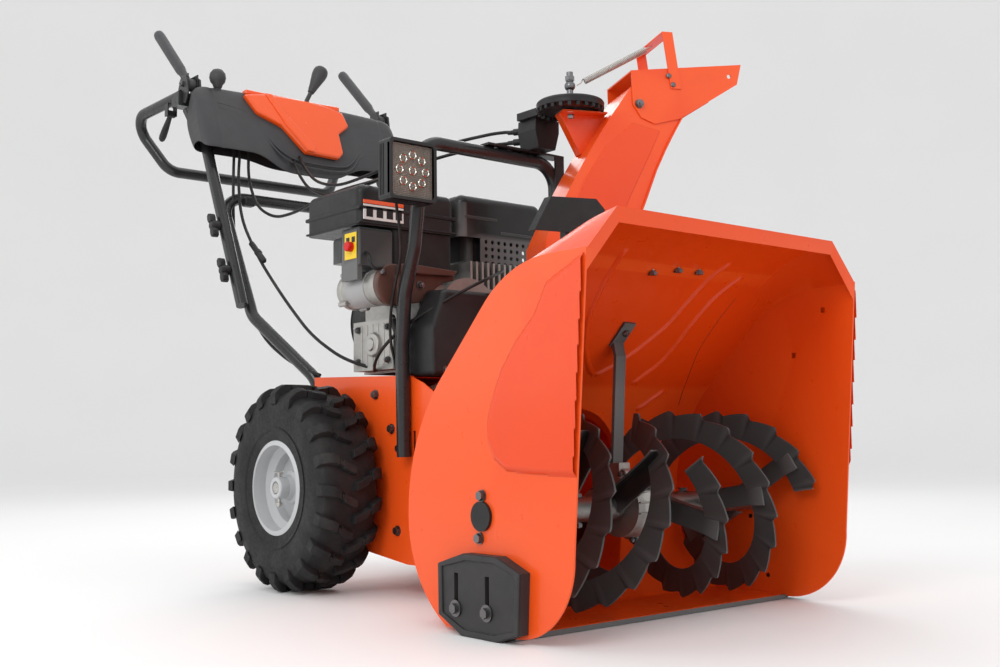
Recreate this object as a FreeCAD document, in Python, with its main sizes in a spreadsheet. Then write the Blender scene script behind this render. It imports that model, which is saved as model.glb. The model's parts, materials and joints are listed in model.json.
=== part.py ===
"""Two-stage snow blower, 24 inch class: a parametric assembly in millimetres.

Machine axes while modelling: +X is the operator's left, -Y is forward, +Z is up, the auger
turns about y = 0 and the ground is z = 0. The finished pieces are moved along Y together, so
that the origin is the bottom centre of the whole machine.
"""
import FreeCAD
import Part
import math
import os
from types import SimpleNamespace

import Sketcher

Vector = FreeCAD.Vector
Placement = FreeCAD.Placement
Rotation = FreeCAD.Rotation

DIMENSIONS = [
    # auger housing
    ("housing_half", 305, "half width over the side plates"),
    ("sheet", 3, "steel sheet of the auger housing"),
    ("auger_z", 167, "height of the auger axis"),
    ("side_top", 523, "top of the flat side plates"),
    ("roof_top", 584, "front edge of the roof"),
    ("roof_flat_half", 245, "half width of the flat roof between its chamfers"),
    ("front_reach", 218, "front edge of the roof ahead of the auger axis"),
    ("front_foot", 185, "front edge of the side plates at their lower corner"),
    ("back_radius", 290, "large rear arc of the housing"),
    ("back_centre_y", -111, "centre of the large rear arc"),
    ("lower_radius", 179, "arc under the auger"),
    ("corner_radius", 115, "front lower corner of the side plates"),
    ("housing_floor", 5, "underside of the housing"),
    ("lip", 22, "turned-down lip of the roof"),
    # impeller and chute
    ("barrel_bore", 157, "inside radius of the impeller barrel"),
    ("barrel_back", 300, "rear face of the impeller barrel"),
    ("impeller_radius", 150, "tip radius of the impeller"),
    ("impeller_length", 110, "length of the impeller blades"),
    ("neck_radius", 65, "outside radius of the chute neck"),
    ("neck_x", 95, "chute axis across the machine"),
    ("neck_y", 225, "chute axis along the machine"),
    ("neck_top", 480, "top of the chute neck"),
    ("ring_z", 468, "top face of the fixed chute ring"),
    ("ring_radius", 84, "outside radius of the chute ring"),
    ("chute_aim", -24.6, "direction of the outlet at rest, degrees from +X"),
    ("chute_half", 58.5, "half width of the chute channel"),
    ("chute_sheet", 2.5, "steel sheet of the chute"),
    ("chute_floor", 552, "where the round chute foot becomes a channel"),
    ("hinge_e", 110, "deflector hinge ahead of the chute axis"),
    ("hinge_z", 873, "height of the deflector hinge"),
    ("deflector_tip", 314, "reach of the deflector"),
    ("deflector_sheet", 2.6, "steel sheet of the deflector"),
    # auger
    ("auger_radius", 152, "outside radius of the auger"),
    ("ribbon", 46, "width of the auger ribbon"),
    ("ribbon_thick", 4, "thickness of the auger ribbon"),
    ("auger_end", 282, "outer end of the auger ribbons"),
    ("auger_tube", 19, "outside radius of the auger tubes"),
    ("auger_rod", 12.6, "radius of the auger shaft"),
    ("fit", 0.05, "radial clearance of running fits"),
    ("gap", 0.5, "clearance between neighbours that move"),
    # skid shoes
    ("shoe_thick", 16, "thickness of a skid shoe"),
    ("shoe_height", 115, "height of a skid shoe"),
    ("shoe_slot", 45, "travel of a skid shoe on its bolts"),
    ("bolt", 4, "radius of the common bolts"),
    ("bolt_head", 7.5, "height of a bolt head on its washer"),
    # wheels
    ("wheel_radius", 190, "outside radius of the tyres"),
    ("wheel_y", 629, "wheel axle behind the auger axis"),
    ("tyre_width", 127, "width of a tyre"),
    ("tyre_outer", 289, "outer face of a tyre from the centre"),
    ("rim_radius", 91, "rim flange radius"),
    ("axle_radius", 9.5, "radius of the wheel axle"),
    # tractor body and drive
    ("frame_half", 150, "half width of the tractor body"),
    ("frame_rear", 710, "rear face of the tractor body"),
    ("frame_top", 399, "top of the tractor body"),
    ("crank_z", 505, "height of the engine shaft"),
    ("disc_z", 290, "height of the friction disc"),
    ("disc_y", 470, "front face of the friction disc"),
    ("disc_radius", 95, "radius of the friction disc"),
    ("friction_radius", 60, "radius of the friction wheel"),
    ("auger_belt_y", 345, "front face of the auger belt"),
    ("drive_belt_y", 365, "front face of the drive belt"),
    ("belt_width", 14, "width of a belt"),
    ("auger_pulley", 98, "radius of the impeller pulley"),
    ("drive_pulley", 60, "radius of the friction disc pulley"),
    ("crank_pulley", 28, "radius of the two engine pulleys"),
    # handles, hoop and console
    ("handle_tube", 12.5, "radius of the handle and hoop tubes"),
    ("lower_half", 200, "half width of the lower handle"),
    ("upper_half", 226, "half width of the upper handle tubes"),
    ("grip_half", 285, "half width of the loop handle"),
    ("grip_rear", 1300, "centre line of the loop handle at its rear"),
    ("console_half", 262, "half width of the console"),
    ("console_wall", 3, "wall of the console shell"),
    ("hoop_half", 163, "half width of the lamp hoop"),
    ("hoop_y", 344, "lamp hoop behind the auger axis"),
    ("hoop_top", 800, "centre line of the hoop cross bar"),
    ("lever_half", 250, "clutch levers from the centre"),
    ("lever_y", 1070, "pivot of the clutch levers"),
    ("lever_z", 1057, "height of the clutch lever pivot"),
    ("lamp_wide", 98, "width of the work lamp"),
    ("lamp_high", 104, "height of the work lamp"),
]

doc = FreeCAD.newDocument("snow_blower")
sheet = doc.addObject("Spreadsheet::Sheet", "Dims")
for row, (alias, value, meaning) in enumerate(DIMENSIONS, start=1):
    sheet.set(f"A{row}", meaning)
    sheet.set(f"B{row}", str(value))
    sheet.setAlias(f"B{row}", alias)
doc.recompute()
d = SimpleNamespace(**{alias: float(sheet.get(alias)) for alias, _, _ in DIMENSIONS})
SHIFT_Y = "(Dims.front_reach - Dims.grip_rear) / 2"
LEFT_REACH = ("(Dims.neck_x + cos(Dims.chute_aim) * Dims.deflector_tip"
              " - sin(Dims.chute_aim) * (Dims.chute_half + Dims.gap + Dims.deflector_sheet))")
RIGHT_REACH = "(Dims.housing_half + 2 * Dims.gap + Dims.shoe_thick + Dims.bolt_head)"
SHIFT_X = f"({RIGHT_REACH} - {LEFT_REACH}) / 2"
pieces = []


# ---------------------------------------------------------------- document helpers
def bind(item, **expressions):
    """Tie properties to the sheet; Base_x, Base_y and Base_z are the placement."""
    for name, expression in expressions.items():
        path = name.replace("Base_", ".Placement.Base.")
        item.setExpression(path, expression)
    return item


def finish(item, label):
    """Name a finished sub-part and move it to the machine's origin."""
    item.Label = label
    item.setExpression(".Placement.Base.x", SHIFT_X)
    item.setExpression(".Placement.Base.y", SHIFT_Y)
    pieces.append(item)
    return item


def shaped(label, shape):
    """A sub-part whose shape comes from Part's own functions."""
    item = doc.addObject("Part::Feature", label)
    item.Shape = shape if shape.Placement.isIdentity() else Part.makeCompound([shape])
    return finish(item, label)


AXES = {
    "x": Rotation(Vector(0, 1, 0), 90),
    "y": Rotation(Vector(1, 0, 0), -90),
    "z": Rotation(),
}


def cylinder(name, radius, length, at, axis="z"):
    item = doc.addObject("Part::Cylinder", name)
    item.Placement = Placement(Vector(), AXES[axis])
    return bind(item, Radius=radius, Height=length, Base_x=at[0], Base_y=at[1], Base_z=at[2])


def fuse(name, items):
    item = doc.addObject("Part::MultiFuse", name)
    item.Shapes = items
    return item


def cut(name, base, tools):
    item = doc.addObject("Part::Cut", name)
    item.Base = base
    item.Tool = tools[0] if len(tools) == 1 else fuse(name + "_tools", tools)
    return item


def group(name, items):
    item = doc.addObject("Part::Compound", name)
    item.Links = items
    return item


def new_body(label):
    return doc.addObject("PartDesign::Body", label)


def new_sketch(body, plane, name, offset="0"):
    """A sketch on one of the body's own origin planes, moved along that plane's normal."""
    sketch = body.newObject("Sketcher::SketchObject", name)
    base = [f for f in body.Origin.OriginFeatures if f.Role == plane][0]
    sketch.AttachmentSupport = [(base, "")]
    sketch.MapMode = "FlatFace"
    sketch.setExpression(".AttachmentOffset.Base.z", offset)
    return sketch


def pin_point(sketch, geometry, corner, place):
    """Fix one point of the sketch with two bound distances from its origin."""
    for kind, expression in zip(("DistanceX", "DistanceY"), place):
        index = sketch.addConstraint(Sketcher.Constraint(kind, -1, 1, geometry, corner, 1.0))
        sketch.setExpression(f"Constraints[{index}]", expression)


def draw_polygon(sketch, corners):
    """A closed outline with every corner placed by expressions."""
    count = len(corners)
    guess = [Vector(10 * math.cos(2 * math.pi * i / count), 10 * math.sin(2 * math.pi * i / count), 0)
             for i in range(count)]
    first = sketch.GeometryCount
    for i in range(count):
        sketch.addGeometry(Part.LineSegment(guess[i], guess[(i + 1) % count]), False)
    for i in range(count):
        follower = first + (i + 1) % count
        sketch.addConstraint(Sketcher.Constraint("Coincident", first + i, 2, follower, 1))
    for i, corner in enumerate(corners):
        pin_point(sketch, first + i, 1, corner)


def draw_circle(sketch, centre, radius):
    index = sketch.addGeometry(Part.Circle(Vector(1, 1, 0), Vector(0, 0, 1), 5), False)
    pin_point(sketch, index, 3, centre)
    size = sketch.addConstraint(Sketcher.Constraint("Radius", index, 5.0))
    sketch.setExpression(f"Constraints[{size}]", radius)


def pad(body, sketch, length, name):
    feature = body.newObject("PartDesign::Pad", name)
    feature.Profile = sketch
    feature.setExpression("Length", length)
    sketch.Visibility = False
    return feature


def pocket_through(body, sketch, name, reversed_side=False):
    feature = body.newObject("PartDesign::Pocket", name)
    feature.Profile = sketch
    feature.Type = "ThroughAll"
    feature.Midplane = True
    feature.Reversed = reversed_side
    return feature


# ---------------------------------------------------------------- geometry helpers
def mirrored(shape):
    return shape.mirror(Vector(), Vector(1, 0, 0))


def both_sides(shape):
    return [shape, mirrored(shape)]


def prism_x(outline, low, high):
    """Extrude a (y, z) outline along X."""
    wire = Part.makePolygon([Vector(low, y, z) for y, z in outline + outline[:1]])
    return Part.Face(wire).extrude(Vector(high - low, 0, 0))


def prism_y(outline, low, high):
    """Extrude an (x, z) outline along Y."""
    wire = Part.makePolygon([Vector(x, low, z) for x, z in outline + outline[:1]])
    return Part.Face(wire).extrude(Vector(0, high - low, 0))


def bar(start, end, radius, end_radius=None):
    """A round bar between two points, tapered when a second radius is given."""
    run = end - start
    if end_radius is None or abs(end_radius - radius) < 1e-6:
        return Part.makeCylinder(radius, run.Length, start, run)
    return Part.makeCone(radius, end_radius, run.Length, start, run)


def bent_wire(points, bend=None):
    """Straight runs joined by tangent arcs. With no bend radius each arc is as large as its
    two runs allow."""
    edges = []
    start = points[0]
    for before, corner, after in zip(points, points[1:], points[2:]):
        to_before = (before - corner).normalize()
        to_after = (after - corner).normalize()
        half = to_before.getAngle(to_after) / 2
        shorter = min(before.distanceToPoint(corner), after.distanceToPoint(corner))
        radius = bend if bend else 0.45 * shorter * math.tan(half)
        setback = radius / math.tan(half)
        middle = (to_before + to_after).normalize()
        entry = corner + to_before * setback
        leave = corner + to_after * setback
        top = corner + middle * (radius / math.sin(half) - radius)
        edges.append(Part.LineSegment(start, entry).toShape())
        edges.append(Part.Arc(entry, top, leave).toShape())
        start = leave
    edges.append(Part.LineSegment(start, points[-1]).toShape())
    return Part.Wire(edges)


def swept_tube(points, radius, bend=None):
    """A round bar bent along a route of straight runs and arcs."""
    path = bent_wire(points, bend)
    ring = Part.Wire(Part.makeCircle(radius, points[0], points[1] - points[0]))
    return path.makePipeShell([ring], True, False)


def route(*coordinates):
    return [Vector(*place) for place in coordinates]


# ---------------------------------------------------------------- auger housing
def housing_profile(x, top, slope, radius, inset):
    """The housing's (y, z) outline at one place across the machine, as a closed wire.

    top and slope describe the roof line, radius the bend between the roof and the straight
    back at 45 degrees; inset moves every wall inwards.
    """
    back_y, back_z = d.back_centre_y, d.auger_z - 5
    diagonal = back_y + back_z + d.back_radius * math.sqrt(2) - inset * math.sqrt(2)
    front = -d.front_reach
    roof = top - inset * math.sqrt(1 + slope * slope)
    corner_y = (diagonal - roof - slope * front) / (1 - slope)
    corner_z = diagonal - corner_y
    turn = math.radians(45) - math.atan(slope)
    bend = radius - inset
    setback = bend * math.tan(turn / 2)
    run = math.sqrt(1 + slope * slope)
    knee_start = (corner_y - setback / run, corner_z + setback * slope / run)
    knee_end = (corner_y + setback * math.sqrt(0.5), corner_z - setback * math.sqrt(0.5))
    half_turn = math.radians(90) - math.atan(slope) - turn / 2
    knee_centre_y = knee_end[0] - bend * math.sqrt(0.5)
    knee_centre_z = knee_end[1] - bend * math.sqrt(0.5)
    knee_mid = (knee_centre_y + bend * math.cos(half_turn), knee_centre_z + bend * math.sin(half_turn))

    def on_arc(centre_y, centre_z, size, degrees):
        angle = math.radians(degrees)
        return (centre_y + size * math.cos(angle), centre_z + size * math.sin(angle))

    back = d.back_radius - inset
    low = d.lower_radius - inset
    low_y = back_y + d.back_radius - d.lower_radius
    floor = d.housing_floor + inset
    floor_angle = math.degrees(math.asin((floor - back_z) / low))
    corner = d.corner_radius - inset
    foot_y = d.corner_radius - d.front_foot
    foot_z = d.housing_floor + d.corner_radius
    front_high = (front, roof)

    def at(place):
        return Vector(x, place[0], place[1])

    def arc(first, middle, last):
        return Part.Arc(at(first), at(middle), at(last)).toShape()

    def line(first, last):
        return Part.LineSegment(at(first), at(last)).toShape()

    foot_end = on_arc(foot_y, foot_z, corner, 180)
    edges = [
        line(front_high, knee_start),
        arc(knee_start, knee_mid, knee_end),
        line(knee_end, on_arc(back_y, back_z, back, 45)),
        arc(on_arc(back_y, back_z, back, 45), on_arc(back_y, back_z, back, 22),
            on_arc(back_y, back_z, back, 0)),
        arc(on_arc(low_y, back_z, low, 0), on_arc(low_y, back_z, low, floor_angle / 2),
            on_arc(low_y, back_z, low, floor_angle)),
        line(on_arc(low_y, back_z, low, floor_angle), on_arc(foot_y, foot_z, corner, -90)),
        arc(on_arc(foot_y, foot_z, corner, -90), on_arc(foot_y, foot_z, corner, -135), foot_end),
    ]
    edges.append(line(foot_end, front_high))
    return Part.Wire(edges)


ROOF_SLOPE = 0.2
ROOF_BEND = 270
SIDE_BEND = 195


def side_profile(x, inset=0):
    return housing_profile(x, d.side_top, 0, SIDE_BEND, inset)


def roof_profile(x, inset=0):
    return housing_profile(x, d.roof_top, ROOF_SLOPE, ROOF_BEND, inset)


def housing_solids(half, inset=0):
    """The housing as full blocks: the flat middle and one chamfered end."""
    middle = Part.Face(roof_profile(-d.roof_flat_half, inset))
    middle = middle.extrude(Vector(2 * d.roof_flat_half, 0, 0))
    end = Part.makeLoft([roof_profile(d.roof_flat_half, inset), side_profile(half, inset)], True, True)
    return middle, end


def housing_solid(half, inset=0):
    middle, end = housing_solids(half, inset)
    return middle.fuse([end, mirrored(end)])


def opening_outline():
    """The (x, z) outline inside the roof lip, down past the floor."""
    half = d.housing_half - d.sheet
    flat = d.roof_flat_half - 4
    return [(-half, d.side_top - d.lip - 8), (-flat, d.roof_top - d.lip), (flat, d.roof_top - d.lip),
            (half, d.side_top - d.lip - 8), (half, -20), (-half, -20)]


def housing_wrap():
    half = d.housing_half - d.sheet
    outer = housing_solid(half)
    shells = [full.cut(hollow) for full, hollow in zip(housing_solids(half), housing_solids(half, d.sheet))]
    shell = shells[0].fuse([shells[1], mirrored(shells[1])])
    lip_band = Part.makeBox(2 * half, 3, d.roof_top, Vector(-half, -d.front_reach, 0)).common(outer)
    lip_band = lip_band.cut(prism_y(opening_outline(), -d.front_reach - 10, -d.front_reach + 10))
    front_cut = Part.makeBox(2 * half + 20, 400, d.side_top - d.lip - 20,
                             Vector(-half - 10, -58 - 400, 0))
    hole = Part.makeCylinder(d.barrel_bore, 400, Vector(0, 0, d.auger_z), Vector(0, 1, 0))
    mouth = prism_y(opening_outline(), -d.front_reach - 10, -d.front_reach + 13)
    wrap = shell.cut(front_cut).cut(mouth).cut(hole).fuse(lip_band)
    bolts = [Part.makeCylinder(d.bolt, 60, Vector(x, y, d.roof_top - 60)) for x, y in ROOF_BOLTS]
    shaped("housing_wrap", wrap.cut(bolts).removeSplitter())


ROOF_BOLTS = [(-26, -78), (22, -88), (70, -89)]
SQUARE_HOLES = [(-156, 482), (-95, 410)]
SQUARE_HOLE = 9
END_BOLTS = [(0, 29), (6, -31)]
SHOE_BOLTS = [(41, 37), (-28, 37)]


def side_plates():
    inner = d.housing_half - d.sheet
    plate = Part.Face(side_profile(inner)).extrude(Vector(d.sheet, 0, 0))
    tools = [Part.makeBox(20, SQUARE_HOLE, SQUARE_HOLE,
                          Vector(inner - 5, y - SQUARE_HOLE / 2, z - SQUARE_HOLE / 2))
             for y, z in SQUARE_HOLES]
    along = Vector(1, 0, 0)
    tools.append(Part.makeCylinder(d.auger_tube, 20, Vector(inner - 5, 0, d.auger_z), along))
    holes = [(y, d.auger_z + z) for y, z in END_BOLTS] + SHOE_BOLTS
    tools += [Part.makeCylinder(d.bolt, 20, Vector(inner - 5, y, z), along) for y, z in holes]
    plate = plate.cut(tools)
    shaped("side_plate_left", plate)
    shaped("side_plate_right", mirrored(plate))


def impeller_housing():
    """Barrel, rear plate and the chute neck with the flange that carries the turning chute."""
    axis = Vector(0, 1, 0)
    centre = Vector(0, 80, d.auger_z)
    outer_radius = d.barrel_bore + d.sheet
    length = d.barrel_back - 80
    full = Part.makeCylinder(outer_radius, length, centre, axis)
    bore = Part.makeCylinder(d.barrel_bore, length - d.sheet, centre, axis)
    neck_foot = Vector(d.neck_x, d.neck_y, d.auger_z)
    rise = d.neck_top - d.auger_z
    neck = Part.makeCylinder(d.neck_radius, rise, neck_foot)
    passage = Part.makeCylinder(d.neck_radius - d.sheet, rise, neck_foot)
    barrel = full.fuse(neck).cut(bore).cut(passage).cut(housing_solid(d.housing_half))
    shaft = Part.makeCylinder(d.auger_rod + d.fit, 40, Vector(0, d.barrel_back - 30, d.auger_z), axis)
    ring = Part.makeCylinder(d.ring_radius, 8, Vector(d.neck_x, d.neck_y, d.ring_z - 8))
    shape = barrel.fuse(ring).cut([shaft, passage])
    shaped("impeller_housing", shape.removeSplitter())


def scraper_bar():
    body = new_body("scraper_bar")
    sketch = new_sketch(body, "YZ_Plane", "scraper_outline", "-(Dims.housing_half - Dims.sheet)")
    draw_polygon(sketch, [("-64", "1"), ("-14", "1"), ("-14", "Dims.housing_floor"),
                          ("-58", "Dims.housing_floor"), ("-64", "Dims.housing_floor + 3")])
    pad(body, sketch, "2 * (Dims.housing_half - Dims.sheet)", "scraper_pad")
    finish(body, "scraper_bar")


def auger_bearings():
    """Flanged bushes in the side plates with the round black covers outside."""
    items = []
    for side, sign in (("left", 1), ("right", -1)):
        start = "Dims.housing_half" if sign > 0 else "-Dims.housing_half - 5"
        neck = "Dims.housing_half - Dims.sheet - 6" if sign > 0 else "-Dims.housing_half"
        cover = cylinder(f"cover_{side}", "Dims.auger_tube + 2", "5", (start, "0", "Dims.auger_z"), "x")
        bush = cylinder(f"bush_{side}", "Dims.auger_tube", "Dims.sheet + 6", (neck, "0", "Dims.auger_z"), "x")
        bore = cylinder(f"bore_{side}", "Dims.auger_rod + Dims.fit", "2 * (Dims.housing_half - 1)",
                        ("-Dims.housing_half + 1", "0", "Dims.auger_z"), "x")
        items.append(cut(f"bearing_{side}", fuse(f"flanged_{side}", [cover, bush]), [bore]))
    finish(group("auger_bearings", items), "auger_bearings")


def bolt_shape(place, along, grip, head, washer=0):
    """Hexagon bolt through a grip length, with its head and an optional washer."""
    unit = Vector(along).normalize()
    shank = Part.makeCylinder(d.bolt - d.fit, grip, place - unit * grip, unit)
    shape = shank
    top = place
    if washer:
        shape = shape.fuse(Part.makeCylinder(washer, 2, top, unit))
        top = top + unit * 2
    return shape.fuse(hexagon(top, unit, head, d.bolt_head - 2)).removeSplitter()


def hexagon(place, along, radius, height):
    frame = Rotation(Vector(0, 0, 1), along)
    corners = [place + frame.multVec(Vector(radius * math.cos(math.radians(60 * i)),
                                            radius * math.sin(math.radians(60 * i)), 0))
               for i in range(7)]
    return Part.Face(Part.makePolygon(corners)).extrude(along * height)


def housing_bolts():
    """Bolts of the roof, the auger bushes and the skid shoes."""
    outward = Vector(1, 0, 0)
    side = d.housing_half
    bolts = [bolt_shape(Vector(side, y, d.auger_z + z), outward, d.sheet, 7, 8.5) for y, z in END_BOLTS]
    shoe_face = side + 2 * d.gap + d.shoe_thick
    bolts += [bolt_shape(Vector(shoe_face, y, z), outward, shoe_face - side + d.sheet, 7.5, 12)
              for y, z in SHOE_BOLTS]
    bolts += [mirrored(bolt) for bolt in bolts]
    for x, y in ROOF_BOLTS:
        height = roof_height(y)
        bolts.append(bolt_shape(Vector(x, y, height - d.sheet - 1.5), Vector(0, 0, -1), d.sheet, 7))
    return bolts


def roof_height(y):
    """Outside of the roof on the machine's centre plane."""
    wall = Part.Face(roof_profile(0))
    probe = Part.makeLine(Vector(0, y, d.auger_z), Vector(0, y, d.roof_top + 50))
    return max(v.Z for v in probe.common(wall).Vertexes)


def skid_shoes():
    """Reversible shoes with two slots; they can only drop from their rest height."""
    low, high = 0, "Dims.shoe_height"
    outline = [("-100", "Dims.shoe_height - 19"), ("-95", "14"), ("-50", "0"), ("28", "0"), ("81", "25"),
               ("82", "Dims.shoe_height - 17"), ("24", high), ("-51", high)]
    for side, offset in (("left", "Dims.housing_half + Dims.gap"),
                         ("right", "-Dims.housing_half - Dims.gap - Dims.shoe_thick")):
        body = new_body(f"skid_shoe_{side}")
        sketch = new_sketch(body, "YZ_Plane", f"shoe_outline_{side}", offset)
        draw_polygon(sketch, outline)
        pad(body, sketch, "Dims.shoe_thick", f"shoe_pad_{side}")
        doc.recompute()
        slots = new_sketch(body, "YZ_Plane", f"shoe_slots_{side}", offset)
        for y, z in SHOE_BOLTS:
            foot = f"{z} - Dims.bolt - Dims.gap"
            head = f"{z} + Dims.bolt + Dims.gap + Dims.shoe_slot"
            left, right = f"{y} - Dims.bolt - Dims.gap", f"{y} + Dims.bolt + Dims.gap"
            draw_polygon(slots, [(left, foot), (right, foot), (right, head), (left, head)])
        pocket_through(body, slots, f"shoe_pocket_{side}")
        finish(body, f"skid_shoe_{side}")


# ---------------------------------------------------------------- auger and gearbox
GEARBOX_HALF = 34
RIBBON_START = 22
RIBBON_PITCH = 240
RIBBON_PIECES = 8
LEFT_PHASE = 122
RIGHT_PHASE = 168
ARM_PLACES = (52, 158, 262)


def ribbon_angle(x, phase):
    """Angle about the auger axis, from straight up towards the rear, at one place along it."""
    return math.radians(phase - 360 * (x - RIBBON_START) / RIBBON_PITCH)


def helix_curve(radius, low_x, high_x, phase):
    """Curve along X that winds about the auger axis."""
    steps = 6
    places = []
    for i in range(steps + 1):
        x = low_x + (high_x - low_x) * i / steps
        angle = ribbon_angle(x, phase)
        places.append(Vector(x, radius * math.sin(angle), d.auger_z + radius * math.cos(angle)))
    curve = Part.BSplineCurve()
    curve.interpolate(places)
    return curve.toShape()


def ribbon_pieces(phase):
    """One flat helical ribbon of the left auger, welded up from short lengths."""
    run = (d.auger_end - d.ribbon_thick - RIBBON_START) / RIBBON_PIECES
    lengths = []
    for i in range(RIBBON_PIECES):
        low, high = RIBBON_START + run * i, RIBBON_START + run * (i + 1)
        outer = helix_curve(d.auger_radius, low, high, phase)
        inner = helix_curve(d.auger_radius - d.ribbon, low, high, phase)
        lengths.append(Part.makeRuledSurface(outer, inner).extrude(Vector(d.ribbon_thick, 0, 0)))
    return lengths


def auger_arm(x, phase):
    """Angle iron from the tube to the inner edge of a ribbon."""
    reach = d.auger_radius - d.ribbon + 3
    web = Part.makeBox(4, 34, reach, Vector(x - 2, -17, 0))
    arm = web.fuse(Part.makeBox(15, 4, reach, Vector(x - 2, 13, 0)))
    arm.rotate(Vector(), Vector(1, 0, 0), -math.degrees(ribbon_angle(x, phase)))
    arm.translate(Vector(0, 0, d.auger_z))
    return arm


def auger(phase):
    """Tube with its arms, and two ribbons half a turn apart."""
    tube_start, tube_end = GEARBOX_HALF + 4, d.housing_half - d.sheet - 8
    at = Vector(tube_start, 0, d.auger_z)
    along = Vector(1, 0, 0)
    length = tube_end - tube_start
    solid_tube = Part.makeCylinder(d.auger_tube, length, at, along)
    phases = (phase, phase + 180)
    ribbons = [item for start in phases for item in ribbon_pieces(start)]
    arms = [auger_arm(x, start).cut([solid_tube] + ribbons) for x in ARM_PLACES for start in phases]
    arms = [max(arm.Solids, key=lambda solid: solid.Volume) for arm in arms]
    bolt_hole = Part.makeCylinder(d.bolt, 80, Vector(SHEAR_BOLT_X, 0, d.auger_z - 40))
    rod = Part.makeCylinder(d.auger_rod + d.fit, length + 2, at - along, along)
    return Part.makeCompound([solid_tube.cut([rod, bolt_hole])] + arms + ribbons)


def augers():
    shaped("auger_left", auger(LEFT_PHASE))
    shaped("auger_right", mirrored(auger(RIGHT_PHASE)))


SHEAR_BOLT_X = 120


def auger_shaft():
    """Cross shaft with the gear wheel at its middle."""
    body = new_body("auger_shaft")
    half = "(Dims.housing_half - 1)"
    sketch = new_sketch(body, "YZ_Plane", "rod_circle", f"-{half} + 1")
    draw_circle(sketch, ("0", "Dims.auger_z"), "Dims.auger_rod")
    pad(body, sketch, f"2 * {half} - 2", "rod_pad")
    wheel = new_sketch(body, "YZ_Plane", "wheel_circle", "8")
    draw_circle(wheel, ("0", "Dims.auger_z"), "30")
    pad(body, wheel, "12", "wheel_pad")
    doc.recompute()
    holes = new_sketch(body, "XY_Plane", "shear_holes", "Dims.auger_z")
    for x in (SHEAR_BOLT_X, -SHEAR_BOLT_X):
        draw_circle(holes, (str(x), "0"), "Dims.bolt")
    pocket_through(body, holes, "shear_pocket")
    finish(body, "auger_shaft")


def shear_bolts():
    """Soft bolts that lock each auger tube to the shaft."""
    reach = d.auger_tube
    shapes = []
    for x in (SHEAR_BOLT_X, -SHEAR_BOLT_X):
        top = Vector(x, 0, d.auger_z + reach)
        bolt = bolt_shape(top, Vector(0, 0, 1), 2 * reach + 8, 7)
        nut = hexagon(Vector(x, 0, d.auger_z - reach - 7), Vector(0, 0, 1), 7, 6)
        shapes.append(bolt.fuse(nut))
    shaped("shear_bolts", Part.makeCompound(shapes))


def gearbox():
    """Cast housing round the gear set, between the two augers."""
    along = Vector(1, 0, 0)
    centre = Vector(-GEARBOX_HALF, 0, d.auger_z)
    body = Part.makeCylinder(46, 2 * GEARBOX_HALF, centre, along)
    nose = Part.makeCone(33, 24, 78, Vector(0, 10, d.auger_z), Vector(0, 1, 0))
    belly = Part.makeSphere(50, Vector(0, 0, d.auger_z))
    slab = Part.makeBox(2 * GEARBOX_HALF, 110, 110, Vector(-GEARBOX_HALF, -55, d.auger_z - 55))
    shape = body.fuse([nose, belly.common(slab)])
    lug = Part.makeBox(24, 22, 30, Vector(-12, 16, d.auger_z + 38))
    shape = shape.fuse(lug)
    cavity = Part.makeCylinder(36, 40, Vector(-20, 0, d.auger_z), along)
    rod = Part.makeCylinder(d.auger_rod + d.fit, 120, Vector(-60, 0, d.auger_z), along)
    input_bore = Part.makeCylinder(d.auger_rod + d.fit, 90, Vector(0, 20, d.auger_z), Vector(0, 1, 0))
    shaped("gearbox", shape.cut([cavity, rod, input_bore]).removeSplitter())


STRUT_FOOT = (33, 38)
STRUT_HEAD_Z = 465


def gearbox_strut():
    """Flat black stay from the housing's back down to the gearbox."""
    half = 11
    foot = (STRUT_FOOT[0], d.auger_z + 68)
    outline = [(60, 600), (66, 600), (24, STRUT_HEAD_Z - 60), (foot[0] + 3, foot[1] - 4),
               (foot[0] - 3, foot[1] - 4), (18, STRUT_HEAD_Z - 60)]
    shape = prism_x(outline, -half, half)
    inside = housing_solid(d.housing_half - d.sheet, d.sheet)
    shape = shape.common(inside)
    tab = prism_x([(33, 423.4), (-2, 458.4), (-5, 455.4), (30, 420.4)], -13, 13)
    shaped("gearbox_strut", shape.fuse(tab).removeSplitter())


# ---------------------------------------------------------------- impeller
def impeller():
    body = new_body("impeller")
    front = "Dims.barrel_back - Dims.sheet - 8 - Dims.impeller_length"
    hub = new_sketch(body, "XZ_Plane", "hub_circle", f"-({front}) - Dims.impeller_length")
    draw_circle(hub, ("0", "Dims.auger_z"), "24")
    draw_circle(hub, ("0", "Dims.auger_z"), "Dims.auger_rod + Dims.fit")
    pad(body, hub, "Dims.impeller_length", "hub_pad")
    blade = new_sketch(body, "XZ_Plane", "blade_outline", f"-({front}) - Dims.impeller_length")
    tip, near = "Dims.auger_z + Dims.impeller_radius", "Dims.auger_z + 20"
    draw_polygon(blade, [("-2", near), ("2", near), ("2", f"{tip} - 30"), ("14", f"{tip} - 3"),
                         ("10", f"{tip} - 1"), ("-2", f"{tip} - 28")])
    blade_pad = pad(body, blade, "Dims.impeller_length", "blade_pad")
    axis_sketch = new_sketch(body, "YZ_Plane", "impeller_axis")
    line = axis_sketch.addGeometry(Part.LineSegment(Vector(0, 1, 0), Vector(50, 1, 0)), True)
    pin_point(axis_sketch, line, 1, ("0", "Dims.auger_z"))
    pin_point(axis_sketch, line, 2, ("50", "Dims.auger_z"))
    doc.recompute()
    pattern = body.newObject("PartDesign::PolarPattern", "blade_pattern")
    pattern.Originals = [blade_pad]
    pattern.Axis = (axis_sketch, ["Axis0"])
    pattern.Angle = 360
    pattern.Occurrences = 4
    body.Tip = pattern
    finish(body, "impeller")


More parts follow.
